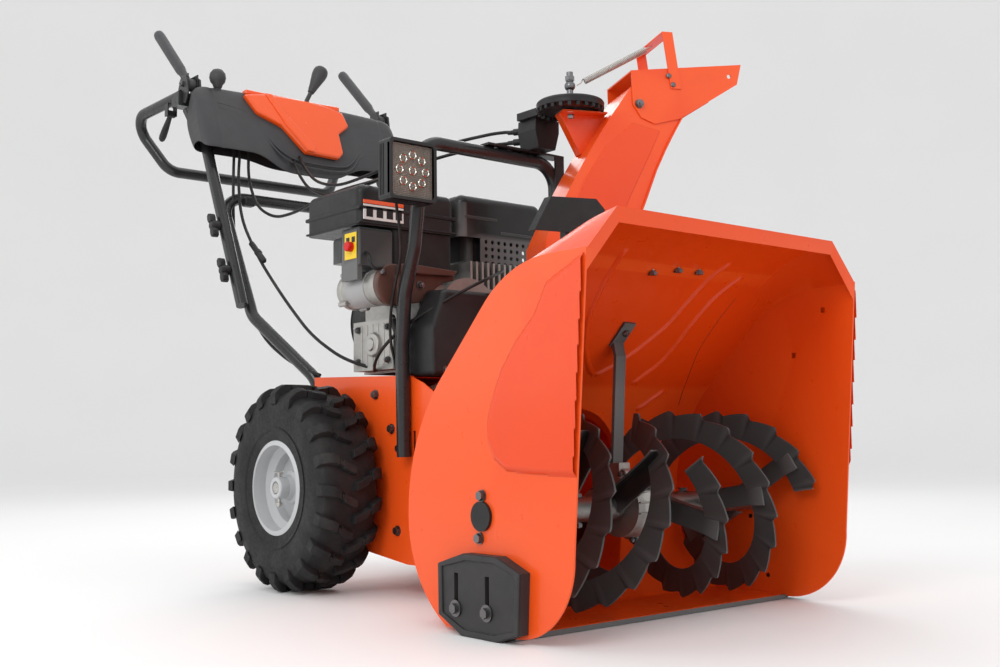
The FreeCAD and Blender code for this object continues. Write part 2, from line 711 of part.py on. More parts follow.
def impeller_shaft():
    """Input shaft, its pinion and the large V pulley at the rear."""
    axis = Vector(0, 1, 0)
    start = 50
    end = d.auger_belt_y + d.belt_width + 10
    shaft = Part.makeCylinder(d.auger_rod, end - start, Vector(0, start, d.auger_z), axis)
    shaped("impeller_shaft", shaft.fuse(v_pulley(0, d.auger_belt_y, d.auger_z, d.auger_pulley)))


def v_pulley(x, front, z, radius):
    """Pulley with one V groove, as a full disc with a grooved rim."""
    width = d.belt_width + 2
    groove = 8
    profile = [(0, 0), (radius, 0), (radius - groove, width * 0.32), (radius - groove, width * 0.68),
               (radius, width), (0, width)]
    wire = Part.makePolygon([Vector(x + r, front - 1 + y, z) for r, y in profile + profile[:1]])
    return Part.Face(wire).revolve(Vector(x, 0, z), Vector(0, 1, 0), 360)


# ---------------------------------------------------------------- tractor body and drive
def tractor_frame():
    """Folded body: two sides, top, rear wall and a bolted belly plate."""
    side = [(d.barrel_back, 58), (d.barrel_back, 345), (351, 374), (390, 388), (d.frame_rear, d.frame_top),
            (d.frame_rear, 150), (650, 88), (400, 58)]
    outer = prism_x(side, -d.frame_half, d.frame_half)
    inner_side = [(200, 61), (200, 600), (390, 600), (390, 385), (d.frame_rear - 3, d.frame_top - 3),
                  (d.frame_rear - 3, 152), (649, 91), (400, 61)]
    inner = prism_x(inner_side, -d.frame_half + 3, d.frame_half - 3)
    along = Vector(1, 0, 0)
    axle = Part.makeCylinder(d.axle_radius + d.fit, 400, Vector(-200, d.wheel_y, d.wheel_radius), along)
    friction_y = d.disc_y + 8 + d.friction_radius + 0.4
    spindle = Part.makeCylinder(8 + d.fit, 400, Vector(-200, friction_y, d.disc_z), along)
    slot = Part.makeBox(400, 9, 43, Vector(-200, 373, 248))
    shaped("tractor_frame", outer.cut(inner).cut([axle, spindle, slot]).removeSplitter())


FRAME_BOLTS = [(496, 358), (414, 329), (445, 295), (420, 260), (428, 115)]


def frame_bolts():
    shapes = [bolt_shape(Vector(d.frame_half, y, z), Vector(1, 0, 0), 3, 7, 9) for y, z in FRAME_BOLTS]
    return shapes + [mirrored(shape) for shape in shapes]


GEAR_SHARE = 0.57


def drive_train():
    axis_y, axis_x = Vector(0, 1, 0), Vector(1, 0, 0)
    # friction disc with its shaft and pulley
    disc = Part.makeCylinder(d.disc_radius, 8, Vector(0, d.disc_y, d.disc_z), axis_y)
    shaft = Part.makeCylinder(9, d.disc_y - d.drive_belt_y, Vector(0, d.drive_belt_y, d.disc_z), axis_y)
    shaped("drive_disc", disc.fuse([shaft, v_pulley(0, d.drive_belt_y, d.disc_z, d.drive_pulley)]))
    # hexagon shaft with its pinion, and the wheel that slides along it
    friction_y = d.disc_y + 8 + d.friction_radius + 0.4
    half = d.frame_half
    hexagon_bar = hexagon(Vector(-half + 6, friction_y, d.disc_z), axis_x, 8, 2 * half - 12)
    journals = Part.makeCylinder(8, 2 * half + 2, Vector(-half - 1, friction_y, d.disc_z), axis_x)
    journals = journals.cut(Part.makeBox(2 * half - 12, 60, 60, Vector(-half + 6, friction_y - 30,
                                                                      d.disc_z - 30)))
    reach = math.hypot(d.wheel_y - friction_y, d.disc_z - d.wheel_radius)
    pinion = Part.makeCylinder(reach * (1 - GEAR_SHARE), 10, Vector(112, friction_y, d.disc_z), axis_x)
    shaped("hex_shaft", hexagon_bar.fuse([journals, pinion]))
    wheel = Part.makeCylinder(d.friction_radius, 16, Vector(-53, friction_y, d.disc_z), axis_x)
    hub = Part.makeCylinder(20, 36, Vector(-63, friction_y, d.disc_z), axis_x)
    bore = Part.makeCylinder(8 + d.fit, 60, Vector(-75, friction_y, d.disc_z), axis_x)
    shaped("friction_wheel", wheel.fuse(hub).cut(bore).removeSplitter())
    # axle with its gear
    tip = d.tyre_outer - 8
    rod = Part.makeCylinder(d.axle_radius, 2 * tip, Vector(-tip, d.wheel_y, d.wheel_radius), axis_x)
    gear = Part.makeCylinder(reach * GEAR_SHARE - 0.6, 8, Vector(113, d.wheel_y, d.wheel_radius), axis_x)
    shaped("axle", rod.fuse(gear))


def belt_loop(front, low_z, low_radius, high_z, high_radius):
    """A belt as one closed band round two pulleys."""
    clearance = 0.4

    def outline(extra):
        low, high = low_radius + extra, high_radius + extra
        low_disc = Part.makeCylinder(low, d.belt_width, Vector(0, front, low_z), Vector(0, 1, 0))
        high_disc = Part.makeCylinder(high, d.belt_width, Vector(0, front, high_z), Vector(0, 1, 0))
        lean = math.asin((low_radius - high_radius) / (high_z - low_z))
        corners = [(low * math.cos(lean), low_z + low * math.sin(lean)),
                   (high * math.cos(lean), high_z + high * math.sin(lean))]
        corners += [(-x, z) for x, z in reversed(corners)]
        return low_disc.fuse([high_disc, prism_y(corners, front, front + d.belt_width)])

    return outline(clearance + 6).cut(outline(clearance)).removeSplitter()


def drive_belts():
    auger_belt = belt_loop(d.auger_belt_y, d.auger_z, d.auger_pulley, d.crank_z, d.crank_pulley)
    drive_belt = belt_loop(d.drive_belt_y, d.disc_z, d.drive_pulley, d.crank_z, d.crank_pulley)
    shaped("drive_belts", Part.makeCompound([auger_belt, drive_belt]))


def belt_cover():
    """Moulded cover over the belts, open below and behind."""
    outline = [(-146, 386), (-146, 470), (-104, 545), (104, 545), (146, 470), (146, 386)]
    inner = [(-143, 380), (-143, 469), (-102, 542), (102, 542), (143, 469), (143, 380)]
    shell = prism_y(outline, 324, 402).cut(prism_y(inner, 327, 410))
    slope = prism_x([(320, 600), (320, 500), (345, 545), (360, 600)], -200, 200)
    plate = prism_x([(324, 500), (346, 543), (346, 545), (324, 503)], -104, 104)
    shaped("belt_cover", shell.cut(slope).fuse(plate.common(prism_y(outline, 324, 402))))


# ---------------------------------------------------------------- wheels
def revolve_profile(label, name, profile, inner_face, sign):
    """Revolve an (out, radius) profile about the axle; out is measured from the inner face."""
    body = new_body(label)
    sketch = new_sketch(body, "XY_Plane", f"{name}_section", "Dims.wheel_radius")
    corners = []
    for out, radius in profile:
        place = f"{inner_face} + {out}"
        corners.append((place if sign > 0 else f"-({place})", f"Dims.wheel_y + {radius}"))
    draw_polygon(sketch, corners)
    axis = sketch.addGeometry(Part.LineSegment(Vector(0, 30, 0), Vector(30, 30, 0)), True)
    pin_point(sketch, axis, 1, ("0", "Dims.wheel_y"))
    pin_point(sketch, axis, 2, ("30", "Dims.wheel_y"))
    feature = body.newObject("PartDesign::Revolution", f"{name}_turn")
    feature.Profile = sketch
    feature.ReferenceAxis = (sketch, ["Axis0"])
    feature.Angle = 360
    finish(body, label)


def wheels():
    width, flange = "Dims.tyre_width", "Dims.rim_radius"
    inner = "(Dims.tyre_outer - Dims.tyre_width)"
    bead = f"{flange} - 11"
    tyre = [("8", bead), ("4", f"{flange} + 14"), ("0", "140"), ("6", "166"), ("16", "Dims.wheel_radius - 6"),
            ("34", "Dims.wheel_radius"), (f"{width} - 34", "Dims.wheel_radius"),
            (f"{width} - 16", "Dims.wheel_radius - 6"), (f"{width} - 6", "166"), (f"{width}", "140"),
            (f"{width} - 4", f"{flange} + 14"), (f"{width} - 8", bead),
            (f"{width} - 10", f"{bead} + 20"), (f"{width} - 12", "150"), (f"{width} - 30", "172"),
            ("30", "172"), ("12", "150"), ("10", f"{bead} + 20")]
    hub = "Dims.axle_radius + Dims.fit"
    rim = [("8", f"{flange} - 11.5"), ("11", flange), ("8", flange), ("5", f"{flange} - 13"),
           ("30", f"{flange} - 16"), ("40", f"{flange} - 28"), (f"{width} - 60", f"{flange} - 30"),
           (f"{width} - 56", "40"), (f"{width} - 64", "20"), (f"{width} - 80", "18"), (f"{width} - 80", hub),
           (f"{width} - 12", hub), (f"{width} - 12", "16"), (f"{width} - 52", "20"), (f"{width} - 52", "42"),
           (f"{width} - 56", f"{flange} - 27"), (f"{width} - 40", f"{flange} - 25"),
           (f"{width} - 30", f"{flange} - 13"), (f"{width} - 5", f"{flange} - 13"),
           (f"{width} - 8", flange), (f"{width} - 11", flange), (f"{width} - 8", f"{flange} - 11.5"),
           (f"{width} - 33", f"{flange} - 11.5"), (f"{width} - 42", f"{flange} - 22.5"),
           ("42", f"{flange} - 25"), ("33", f"{flange} - 13")]
    for side, sign in (("left", 1), ("right", -1)):
        revolve_profile(f"tyre_{side}", f"tyre_{side}", tyre, inner, sign)
        revolve_profile(f"rim_{side}", f"rim_{side}", rim, inner, sign)


# ---------------------------------------------------------------- engine
ENGINE_FRONT = 420


def engine_block():
    """Crankcase, finned cylinder and base feet as one casting."""
    front, base = ENGINE_FRONT, d.frame_top
    along = Vector(0, 1, 0)
    case = Part.makeBox(200, 176, 156, Vector(-106, front, base + 4))
    sump = Part.makeBox(46, 130, 92, Vector(-150, front + 20, base + 4))
    cheek = Part.makeCylinder(70, 12, Vector(0, front - 12, d.crank_z), along)
    feet = Part.makeBox(230, 150, 4, Vector(-120, front + 10, base))
    fins = [Part.makeBox(5, 130, 145, Vector(34 + 14 * i, front + 25, 470)) for i in range(9)]
    core = Part.makeBox(120, 90, 110, Vector(34, front + 45, 485))
    crank_room = Part.makeBox(170, 148, 120, Vector(-92, front + 14, base + 22))
    cylinder_room = Part.makeCylinder(34, 60, Vector(78, front + 90, 540), Vector(1, 0, 0))
    head = Part.makeBox(26, 120, 120, Vector(151, front + 30, 475))
    bore = Part.makeCylinder(12.5 + d.fit, 220, Vector(0, front - 20, d.crank_z), along)
    shape = case.fuse([sump, cheek, feet, core, head] + fins).cut([bore, crank_room, cylinder_room])
    shaped("engine_block", shape.removeSplitter())


def engine_shaft():
    """Crankshaft end with one pulley for each belt."""
    axis = Vector(0, 1, 0)
    start = d.auger_belt_y - 6
    shaft = Part.makeCylinder(12.5, 618 - start, Vector(0, start, d.crank_z), axis)
    pulleys = [v_pulley(0, y, d.crank_z, d.crank_pulley) for y in (d.auger_belt_y, d.drive_belt_y)]
    shaped("engine_shaft", shaft.fuse(pulleys))


def soft_block(low, high, radius):
    """A box with rounded vertical and top edges."""
    size = high - low
    box = Part.makeBox(size.x, size.y, size.z, low)
    edges = [e for e in box.Edges if not all(abs(v.Z - low.z) < 1e-6 for v in e.Vertexes)]
    return box.makeFillet(radius, edges)


TANK_LOW = Vector(-212, 455, 662)
TANK_HIGH = Vector(6, 640, 738)
SHROUD_LOW = Vector(-136, 462, 588)
SHROUD_HIGH = Vector(4, 598, 670)
CAP_X = -60
CAP_Y = 560


def fuel_tank():
    """Moulded tank on top, with the shroud over the crankcase below its front half."""
    wall = Vector(4, 4, 4)
    outer = soft_block(TANK_LOW, TANK_HIGH, 16).fuse(soft_block(SHROUD_LOW, SHROUD_HIGH, 10))
    inner = soft_block(TANK_LOW + wall, TANK_HIGH - wall, 12)
    hollow = soft_block(SHROUD_LOW + wall, SHROUD_HIGH - wall, 6)
    neck = Part.makeCylinder(20, 16, Vector(CAP_X, CAP_Y, TANK_HIGH.z - 2))
    shaped("fuel_tank", outer.cut([inner, hollow]).fuse(neck))


def fuel_cap():
    top = TANK_HIGH.z
    cap = Part.makeCylinder(32, 22, Vector(CAP_X, CAP_Y, top + 0.5))
    cap = cap.cut(Part.makeCylinder(20 + d.fit, 15, Vector(CAP_X, CAP_Y, top)))
    grips = [Part.makeCylinder(3, 30, Vector(CAP_X + 33.5 * math.cos(math.radians(a)),
                                             CAP_Y + 33.5 * math.sin(math.radians(a)), top - 2))
             for a in range(0, 360, 30)]
    shaped("fuel_cap", cap.cut(grips))


def muffler():
    """Muffler can, and over it the heat shield with a perforated apron."""
    low, high = Vector(18, 455, 664), Vector(232, 612, 748)
    wall = 3
    outer = soft_block(low, high, 18)
    inner = soft_block(low + Vector(wall, wall, -wall), high - Vector(wall, wall, wall), 15)
    apron = Part.makeBox(150, 2.5, 70, low + Vector(50, 0, -58))
    holes = [Part.makeCylinder(4, 10, low + Vector(64 + 16 * i, -4, -48 + 14 * j), Vector(0, 1, 0))
             for i in range(8) for j in range(4)]
    shield = outer.cut(inner).fuse(apron).cut(holes)
    can = soft_block(Vector(52, 482, 622), Vector(206, 580, 728), 20)
    can = can.cut(Part.makeBox(130, 74, 82, Vector(64, 494, 634)))
    pipe = Part.makeCylinder(15, 36, Vector(166, 520, 590))
    shaped("muffler", Part.makeCompound([shield, can.fuse(pipe)]))


KEY_FACE = -216
KEY_Y = 474
KEY_Z = 622


def heater_box():
    """Heated carburettor box with the key on its outer face and the choke nose behind it."""
    shell = soft_block(Vector(KEY_FACE, 452, 588), Vector(-140, 512, 658), 6)
    panel = Part.makeBox(10, 52, 60, Vector(KEY_FACE, 456, 562))
    nose = soft_block(Vector(KEY_FACE + 2, 508, 598), Vector(-160, 545, 646), 8)
    key_bore = Part.makeCylinder(5 + d.fit, 12, Vector(KEY_FACE - 2, KEY_Y, KEY_Z), Vector(1, 0, 0))
    shaped("heater_box", shell.fuse([panel, nose]).cut(key_bore))


def ignition_key():
    tip = Vector(KEY_FACE + 9, KEY_Y, KEY_Z)
    stem = Part.makeCylinder(5, 13, tip, Vector(-1, 0, 0))
    knob = Part.makeCylinder(9, 12, tip - Vector(10, 0, 0), Vector(-1, 0, 0))
    shaped("ignition_key", stem.fuse(knob.makeFillet(3, [knob.Edges[0]])))


def recoil_housing():
    axis = Vector(0, 1, 0)
    drum = Part.makeCone(105, 96, 62, Vector(0, 600, d.crank_z), axis)
    hollow = Part.makeCone(101, 92, 56, Vector(0, 598, d.crank_z), axis)
    cap = Part.makeCylinder(46, 8, Vector(0, 662, d.crank_z), axis)
    shaped("recoil_housing", drum.cut(hollow).fuse(cap))


STARTER = Vector(-170, 420, 550)


def electric_starter():
    """Motor beside the crankcase, its drive end and the bracket that holds it."""
    axis = Vector(0, 1, 0)
    drive_end = Part.makeCylinder(34, 18, STARTER, axis)
    motor = Part.makeCylinder(32, 108, STARTER + axis * 18, axis)
    end = Part.makeCone(32, 20, 18, STARTER + axis * 126, axis)
    bracket = prism_y([(-165, 516), (-72, 536), (-72, 566), (-165, 584)], STARTER.y - 11, STARTER.y + 6)
    block_room = Part.makeBox(100, 40, 200, Vector(-106.3, ENGINE_FRONT - 0.3, 400))
    shaped("electric_starter", motor.fuse([drive_end, end, bracket]).cut(block_room))


# ---------------------------------------------------------------- chute and deflector
def chute_place(shape):
    """From chute axes (X along the outlet, Z up, origin on the chute axis) to the machine."""
    shape.Placement = Placement(Vector(d.neck_x, d.neck_y, 0), Rotation(Vector(0, 0, 1), d.chute_aim))
    return shape


def channel_outline(inset, front_extra, floor):
    """Side view of the chute channel: a leaning back and a shorter, leaning front."""
    back_low = Vector(-70 + inset, 0, floor)
    back_start = Vector(-70 + inset, 0, 618)
    back_mid = Vector(8 + inset * 1.1, 0, 770 - inset * 0.5)
    back_end = Vector(97 + inset, 0, 905 - inset)
    front_end = Vector(195 + front_extra, 0, 852 - front_extra)
    front_mid = Vector(142 + front_extra, 0, 752 - front_extra)
    front_start = Vector(90 + front_extra, 0, 640 if front_extra else 625)
    low_front = 90 - inset
    edges = [Part.LineSegment(back_low, back_start), Part.Arc(back_start, back_mid, back_end)]
    corners = [back_end]
    if front_extra:
        corners += [Vector(140, 0, 945), Vector(front_end.x, 0, 900), front_start, Vector(low_front, 0, 640)]
    else:
        corners += [front_end]
        edges.append(Part.Arc(front_end, front_mid, front_start))
    corners_tail = [Vector(low_front, 0, 640)] if front_extra else [front_start]
    for first, last in zip(corners, corners[1:]):
        edges.append(Part.LineSegment(first, last))
    for first, last in zip(corners_tail + [Vector(low_front, 0, floor)],
                           [Vector(low_front, 0, floor), back_low]):
        edges.append(Part.LineSegment(first, last))
    return Part.Wire(Part.__sortEdges__([e.toShape() for e in edges]))


def chute():
    t = d.chute_sheet
    half = d.chute_half
    outer = Part.Face(channel_outline(0, 0, d.chute_floor))
    outer = outer.extrude(Vector(0, 2 * half, 0)).translated(Vector(0, -half, 0))
    inner = Part.Face(channel_outline(t, 90, d.chute_floor + t))
    inner = inner.extrude(Vector(0, 2 * (half - t), 0)).translated(Vector(0, -half + t, 0))
    channel = outer.cut(inner)
    foot_bottom = d.ring_z + d.gap
    bore = d.neck_radius + d.gap
    foot = Part.makeCylinder(bore + 3, d.chute_floor + t - foot_bottom, Vector(0, 0, foot_bottom))
    flange = Part.makeCylinder(d.ring_radius, 4, Vector(0, 0, foot_bottom))
    hole = Part.makeCylinder(bore, d.chute_floor + t + 1 - foot_bottom, Vector(0, 0, foot_bottom - 0.5))
    gusset = prism_y([(-22, 866), (66, 866), (66, 860), (21, 790), (17, 790)], -1.5, 1.5)
    flap = prism_y([(-22, 866), (-19, 866), (20, 790), (17, 790)], 0, 22)
    shelf = Part.makeBox(86, 44, 3, Vector(-22, -22, 863))
    shape = channel.fuse([foot, flange, gusset, flap, shelf]).cut(hole)
    pin_hole = Part.makeCylinder(6, 20, Vector(0, 0, 855))
    hinge_hole = Part.makeCylinder(d.bolt, 200, Vector(d.hinge_e, -100, d.hinge_z), Vector(0, 1, 0))
    shaped("chute", chute_place(shape.cut([pin_hole, hinge_hole])))


def chute_hardware():
    """Pivot pin with its lock nuts, and the two hinge bolts of the deflector."""
    pin = Part.makeCylinder(6, 82, Vector(0, 0, 860))
    shapes = [pin.fuse([hexagon(Vector(0, 0, 890), Vector(0, 0, 1), 11, 9),
                        Part.makeSphere(10, Vector(0, 0, 916)),
                        hexagon(Vector(0, 0, 926), Vector(0, 0, 1), 9, 8)])]
    for sign in (1, -1):
        along = Vector(0, sign, 0)
        face = Vector(d.hinge_e, sign * (d.chute_half + d.gap + d.deflector_sheet + d.gap), d.hinge_z)
        shapes.append(bolt_shape(face, along, d.gap * 2 + d.deflector_sheet + d.chute_sheet + 6, 7.5))
    shapes = [chute_place(shape) for shape in shapes]
    shaped("chute_hardware", Part.makeCompound(shapes))


def deflector():
    """Hinged cap with the riveted strap that the return spring pulls on."""
    t = d.deflector_sheet
    outer_half = d.chute_half + d.gap + t
    tip = d.deflector_tip
    outline = [(96, 934), (tip, 960), (tip - 9, 922), (231, 876), (188, 850), (140, 838), (114, 848), (98, 872)]
    hollow = [(60, 927), (tip + 40, 961), (tip + 40, 700), (60, 700)]
    shell = prism_y(outline, -outer_half, outer_half)
    shell = shell.cut(prism_y(hollow, -outer_half + t, outer_half - t))
    hinge = Part.makeCylinder(d.bolt + d.fit, 200, Vector(d.hinge_e, -100, d.hinge_z), Vector(0, 1, 0))
    lace_hole = Part.makeCylinder(4, 200, Vector(tip - 25, -100, 936), Vector(0, 1, 0))
    strap_outline = [(172, 905), (192, 905), (177, 1010), (157, 1010)]
    strap = prism_y(strap_outline, -outer_half - t, outer_half + t)
    strap = strap.cut(Part.makeBox(100, 2 * outer_half, 300, Vector(120, -outer_half, 1010 - t - 300)))
    shape = shell.cut([hinge, lace_hole]).fuse(strap)
    shaped("deflector", chute_place(shape))


def deflector_spring():
    """Long extension spring as its closed outer form, hooked at both ends."""
    start, end = Vector(14, 0, 919), Vector(163, 0, 1003)
    along = (end - start).normalize()
    coil = bar(start + along * 16, end - along * 14, 6.5)
    wire = bar(start, end, 1.6)
    shaped("deflector_spring", chute_place(coil.fuse(wire)))


def rotator_head():
    """Fixed drive head over the chute: round cap, gear body and the bracket on the hoop."""
    cap = Part.makeCylinder(62, 14, Vector(d.neck_x, d.neck_y, 872))
    cap = cap.makeFillet(5, [cap.Edges[0]])
    arm = Part.makeBox(62, d.hoop_y - d.neck_y, 14, Vector(d.neck_x - 26, d.neck_y, 872))
    body = prism_y([(78, 872), (136, 872), (136, 850), (126, 816), (84, 816), (76, 850)], 300, 350)
    plate_z = d.hoop_top + d.handle_tube
    plate = Part.makeBox(186, 30, 4, Vector(-14, d.hoop_y - 16, plate_z))
    stay = Part.makeBox(22, 4, 124, Vector(d.hoop_half - 11, d.hoop_y - 16, plate_z - 120))
    bore = Part.makeCylinder(6 + d.fit, 40, Vector(d.neck_x, d.neck_y, 860))
    slots = [Part.makeCylinder(5, 20, Vector(x, d.hoop_y, plate_z - 8)) for x in (14, 46)]
    shape = cap.fuse([arm, body, plate, stay]).cut([bore] + slots)
    shaped("rotator_head", shape.removeSplitter())


# ---------------------------------------------------------------- hoop and lamp
LAMP_X = -211
LAMP_Z = 729
LAMP_BACK = 324
LAMP_DEPTH = 34
LAMP_PIVOT_Y = 333


def lamp_hoop():
    """Bent tube over the engine, and the pin that carries the lamp."""
    half = d.hoop_half
    leg = [(half, 390, 245), (half, 394, 440), (half, 386, 530), (half, d.hoop_y + 12, 610),
           (half, d.hoop_y, 690), (half, d.hoop_y, d.hoop_top)]
    points = [Vector(*p) for p in leg] + [Vector(-x, y, z) for x, y, z in reversed(leg)]
    tube = swept_tube(points, d.handle_tube, 48)
    pin = Part.makeCylinder(d.bolt, 62, Vector(-half - 62, LAMP_PIVOT_Y, LAMP_Z), Vector(1, 0, 0))
    shaped("lamp_hoop", tube.fuse(pin))


def lamp_housing():
    half_wide, half_high = d.lamp_wide / 2, d.lamp_high / 2
    front = LAMP_BACK - LAMP_DEPTH
    low = Vector(LAMP_X - half_wide, front, LAMP_Z - half_high)
    box = Part.makeBox(d.lamp_wide, LAMP_DEPTH, d.lamp_high, low)
    box = box.makeFillet(7, [e for e in box.Edges if abs(e.Length - LAMP_DEPTH) < 1e-6])
    pocket = Part.makeBox(d.lamp_wide - 12, 12, d.lamp_high - 12, low + Vector(6, -1, 6))
    lug = Part.makeBox(12, 18, 16, Vector(LAMP_X - 6, LAMP_BACK - 1, LAMP_Z - 8))
    bore = Part.makeCylinder(d.bolt + d.fit, 60, Vector(LAMP_X - 30, LAMP_PIVOT_Y, LAMP_Z), Vector(1, 0, 0))
    grooves = [Part.makeBox(6, 2.4, d.lamp_high - 16, Vector(x, front + 17 + 5 * i, low.z + 8))
               for i in range(3) for x in (low.x - 2, low.x + d.lamp_wide - 4)]
    shaped("lamp_housing", box.cut([pocket] + grooves).fuse(lug).cut(bore))


def lamp_lens():
    """Reflector plate with nine round lenses behind a clear cover."""
    front = LAMP_BACK - LAMP_DEPTH
    wide, high = d.lamp_wide - 12.4, d.lamp_high - 12.4
    plate = Part.makeBox(wide, 6, high, Vector(LAMP_X - wide / 2, front + 4.9, LAMP_Z - high / 2))
    ring = [(LAMP_X + 27 * math.cos(math.radians(45 * i)), LAMP_Z + 27 * math.sin(math.radians(45 * i)))
            for i in range(8)]
    lenses = [Part.makeCone(8, 4, 3, Vector(x, front + 4.9, z), Vector(0, -1, 0))
              for x, z in ring + [(LAMP_X, LAMP_Z)]]
    shaped("lamp_lens", plate.fuse(lenses))


# ---------------------------------------------------------------- handles and console
def lower_handle():
    half, low = d.lower_half, d.frame_half - 17
    rear = d.frame_rear + d.handle_tube
    leg = [(low, rear, 236), (low, rear, 392), (half, 872, 532), (half, 1020, 808)]
    points = [Vector(*p) for p in leg] + [Vector(-x, y, z) for x, y, z in reversed(leg)]
    shaped("lower_handle", swept_tube(points, d.handle_tube, 62))


UPPER_LOW = (868, 552)
UPPER_HIGH = (1032, 906)


def upper_handle():
    """Two straight tubes that lean in to the console and end under the lever brackets."""
    x = d.upper_half
    points = route((x, *UPPER_LOW), (x, *UPPER_HIGH), (d.lever_half, 1078, 1004))
    tube = swept_tube(points, d.handle_tube, 60)
    shaped("upper_handle", Part.makeCompound(both_sides(tube)))


def wing_knobs():
    """Four knobs on through bolts that clamp the upper tubes to the lower handle."""
    along = Vector(1, 0, 0)
    outer = d.upper_half + d.handle_tube
    shapes = []
    for z in (627, 727):
        y = UPPER_LOW[0] + (UPPER_HIGH[0] - UPPER_LOW[0]) * (z - UPPER_LOW[1]) / (UPPER_HIGH[1] - UPPER_LOW[1])
        hub = Part.makeCylinder(11, 16, Vector(outer, y, z), along)
        wing = Part.makeBox(12, 12, 46, Vector(outer + 8, y - 6, z - 23))
        wing.rotate(Vector(outer, y, z), along, -25)
        shapes.append(hub.fuse(wing))
    shaped("wing_knobs", Part.makeCompound(shapes + [mirrored(s) for s in shapes]))


TRIGGER_PIVOT = (1128, 1002)
TRIGGER_OFFSET = 18


def loop_handle():
    """Rear grip loop with the clamp, cheeks and pin of each clutch lever."""
    half = d.grip_half
    leg = [(d.lever_half + 14, 1078, 1034), (half, d.grip_rear, 1022), (half - 70, d.grip_rear - 50, 902)]
    points = [Vector(*p) for p in leg] + [Vector(-x, y, z) for x, y, z in reversed(leg)]
    tube = swept_tube(points, d.handle_tube, 42)
    pivot = Vector(d.lever_half, d.lever_y, d.lever_z)
    clamp = Part.makeBox(44, 34, 30, Vector(d.lever_half - 16, 1068, 1008))
    cheeks = [Part.makeBox(2.5, 36, 46, pivot + Vector(offset, -14, -24)) for offset in (-12.5, 10)]
    pin = Part.makeCylinder(d.bolt, 28, pivot - Vector(14, 0, 0), Vector(1, 0, 0))
    hand = clamp.fuse(cheeks + [pin])
    trigger = Vector(d.lever_half + TRIGGER_OFFSET, *TRIGGER_PIVOT)
    hangers = [Part.makeBox(2.5, 16, 40, trigger + Vector(offset, -8, -6)) for offset in (-11, 8.5)]
    trigger_pin = Part.makeCylinder(3, 22, trigger - Vector(11, 0, 0), Vector(1, 0, 0))
    hand = hand.fuse(hangers + [trigger_pin])
    lever_room = Part.makeCylinder(15, 19, pivot - Vector(9.5, 0, 0), Vector(1, 0, 0))
    core = Part.makeCylinder(d.bolt, 28, pivot - Vector(14, 0, 0), Vector(1, 0, 0))
    hand = hand.fuse(tube).fuse(mirrored(hand))
    rooms = lever_room.cut(core)
    shaped("loop_handle", hand.cut([rooms, mirrored(rooms)]).removeSplitter())


def clutch_levers():
    """Pressed down to the grip: drive on the left, auger on the right."""
    pivot = Vector(d.lever_half, d.lever_y, d.lever_z)
    tip = Vector(d.lever_half, 1243, 1221)
    along = (tip - pivot).normalize()
    hub = Part.makeCylinder(14, 18, pivot - Vector(9, 0, 0), Vector(1, 0, 0))
    neck = bar(pivot + along * 8, pivot + along * 60, 7, 9)
    grip = bar(pivot + along * 58, tip - along * 12, 10.5, 12)
    end = Part.makeSphere(12, tip - along * 12)
    bore = Part.makeCylinder(d.bolt + d.fit, 40, pivot - Vector(20, 0, 0), Vector(1, 0, 0))
    shape = hub.fuse([neck, grip, end]).cut(bore)
    shaped("lever_left", shape)
    shaped("lever_right", mirrored(shape))


def finger_triggers():
    """Steering triggers under the grips, one for each wheel."""
    pivot = Vector(d.lever_half + TRIGGER_OFFSET, *TRIGGER_PIVOT)
    hub = Part.makeCylinder(8, 14, pivot - Vector(7, 0, 0), Vector(1, 0, 0))
    blade = bar(pivot, pivot + Vector(0, 44, -46), 6, 7.5)
    end = Part.makeSphere(7.5, pivot + Vector(0, 44, -46))
    shape = hub.fuse([blade, end])
    shape = shape.cut(Part.makeCylinder(3 + d.fit, 40, pivot - Vector(20, 0, 0), Vector(1, 0, 0)))
    shaped("trigger_left", shape)
    shaped("trigger_right", mirrored(shape))


CONSOLE_SECTION = [(1028, 1046), (999, 978), (970, 898), (1036, 896), (1080, 971), (1045, 1053)]


def console_front():
    """Front view of the console: shallow ends and a deeper middle."""
    half = d.console_half
    return [(-half, 1030), (-half + 18, 1060), (half - 18, 1060), (half, 1030), (half, 900), (half - 90, 894),
            (110, 880), (70, 862), (-14, 862), (-90, 884), (-half + 90, 894), (-half, 900)]


def grown(section, amount):
    """Push a convex (y, z) outline outwards by the same amount on every side."""
    wire = Part.makePolygon([Vector(0, y, z) for y, z in section + section[:1]])
    moved = wire.makeOffset2D(amount, 2)
    return [(v.Y, v.Z) for v in moved.OrderedVertexes]


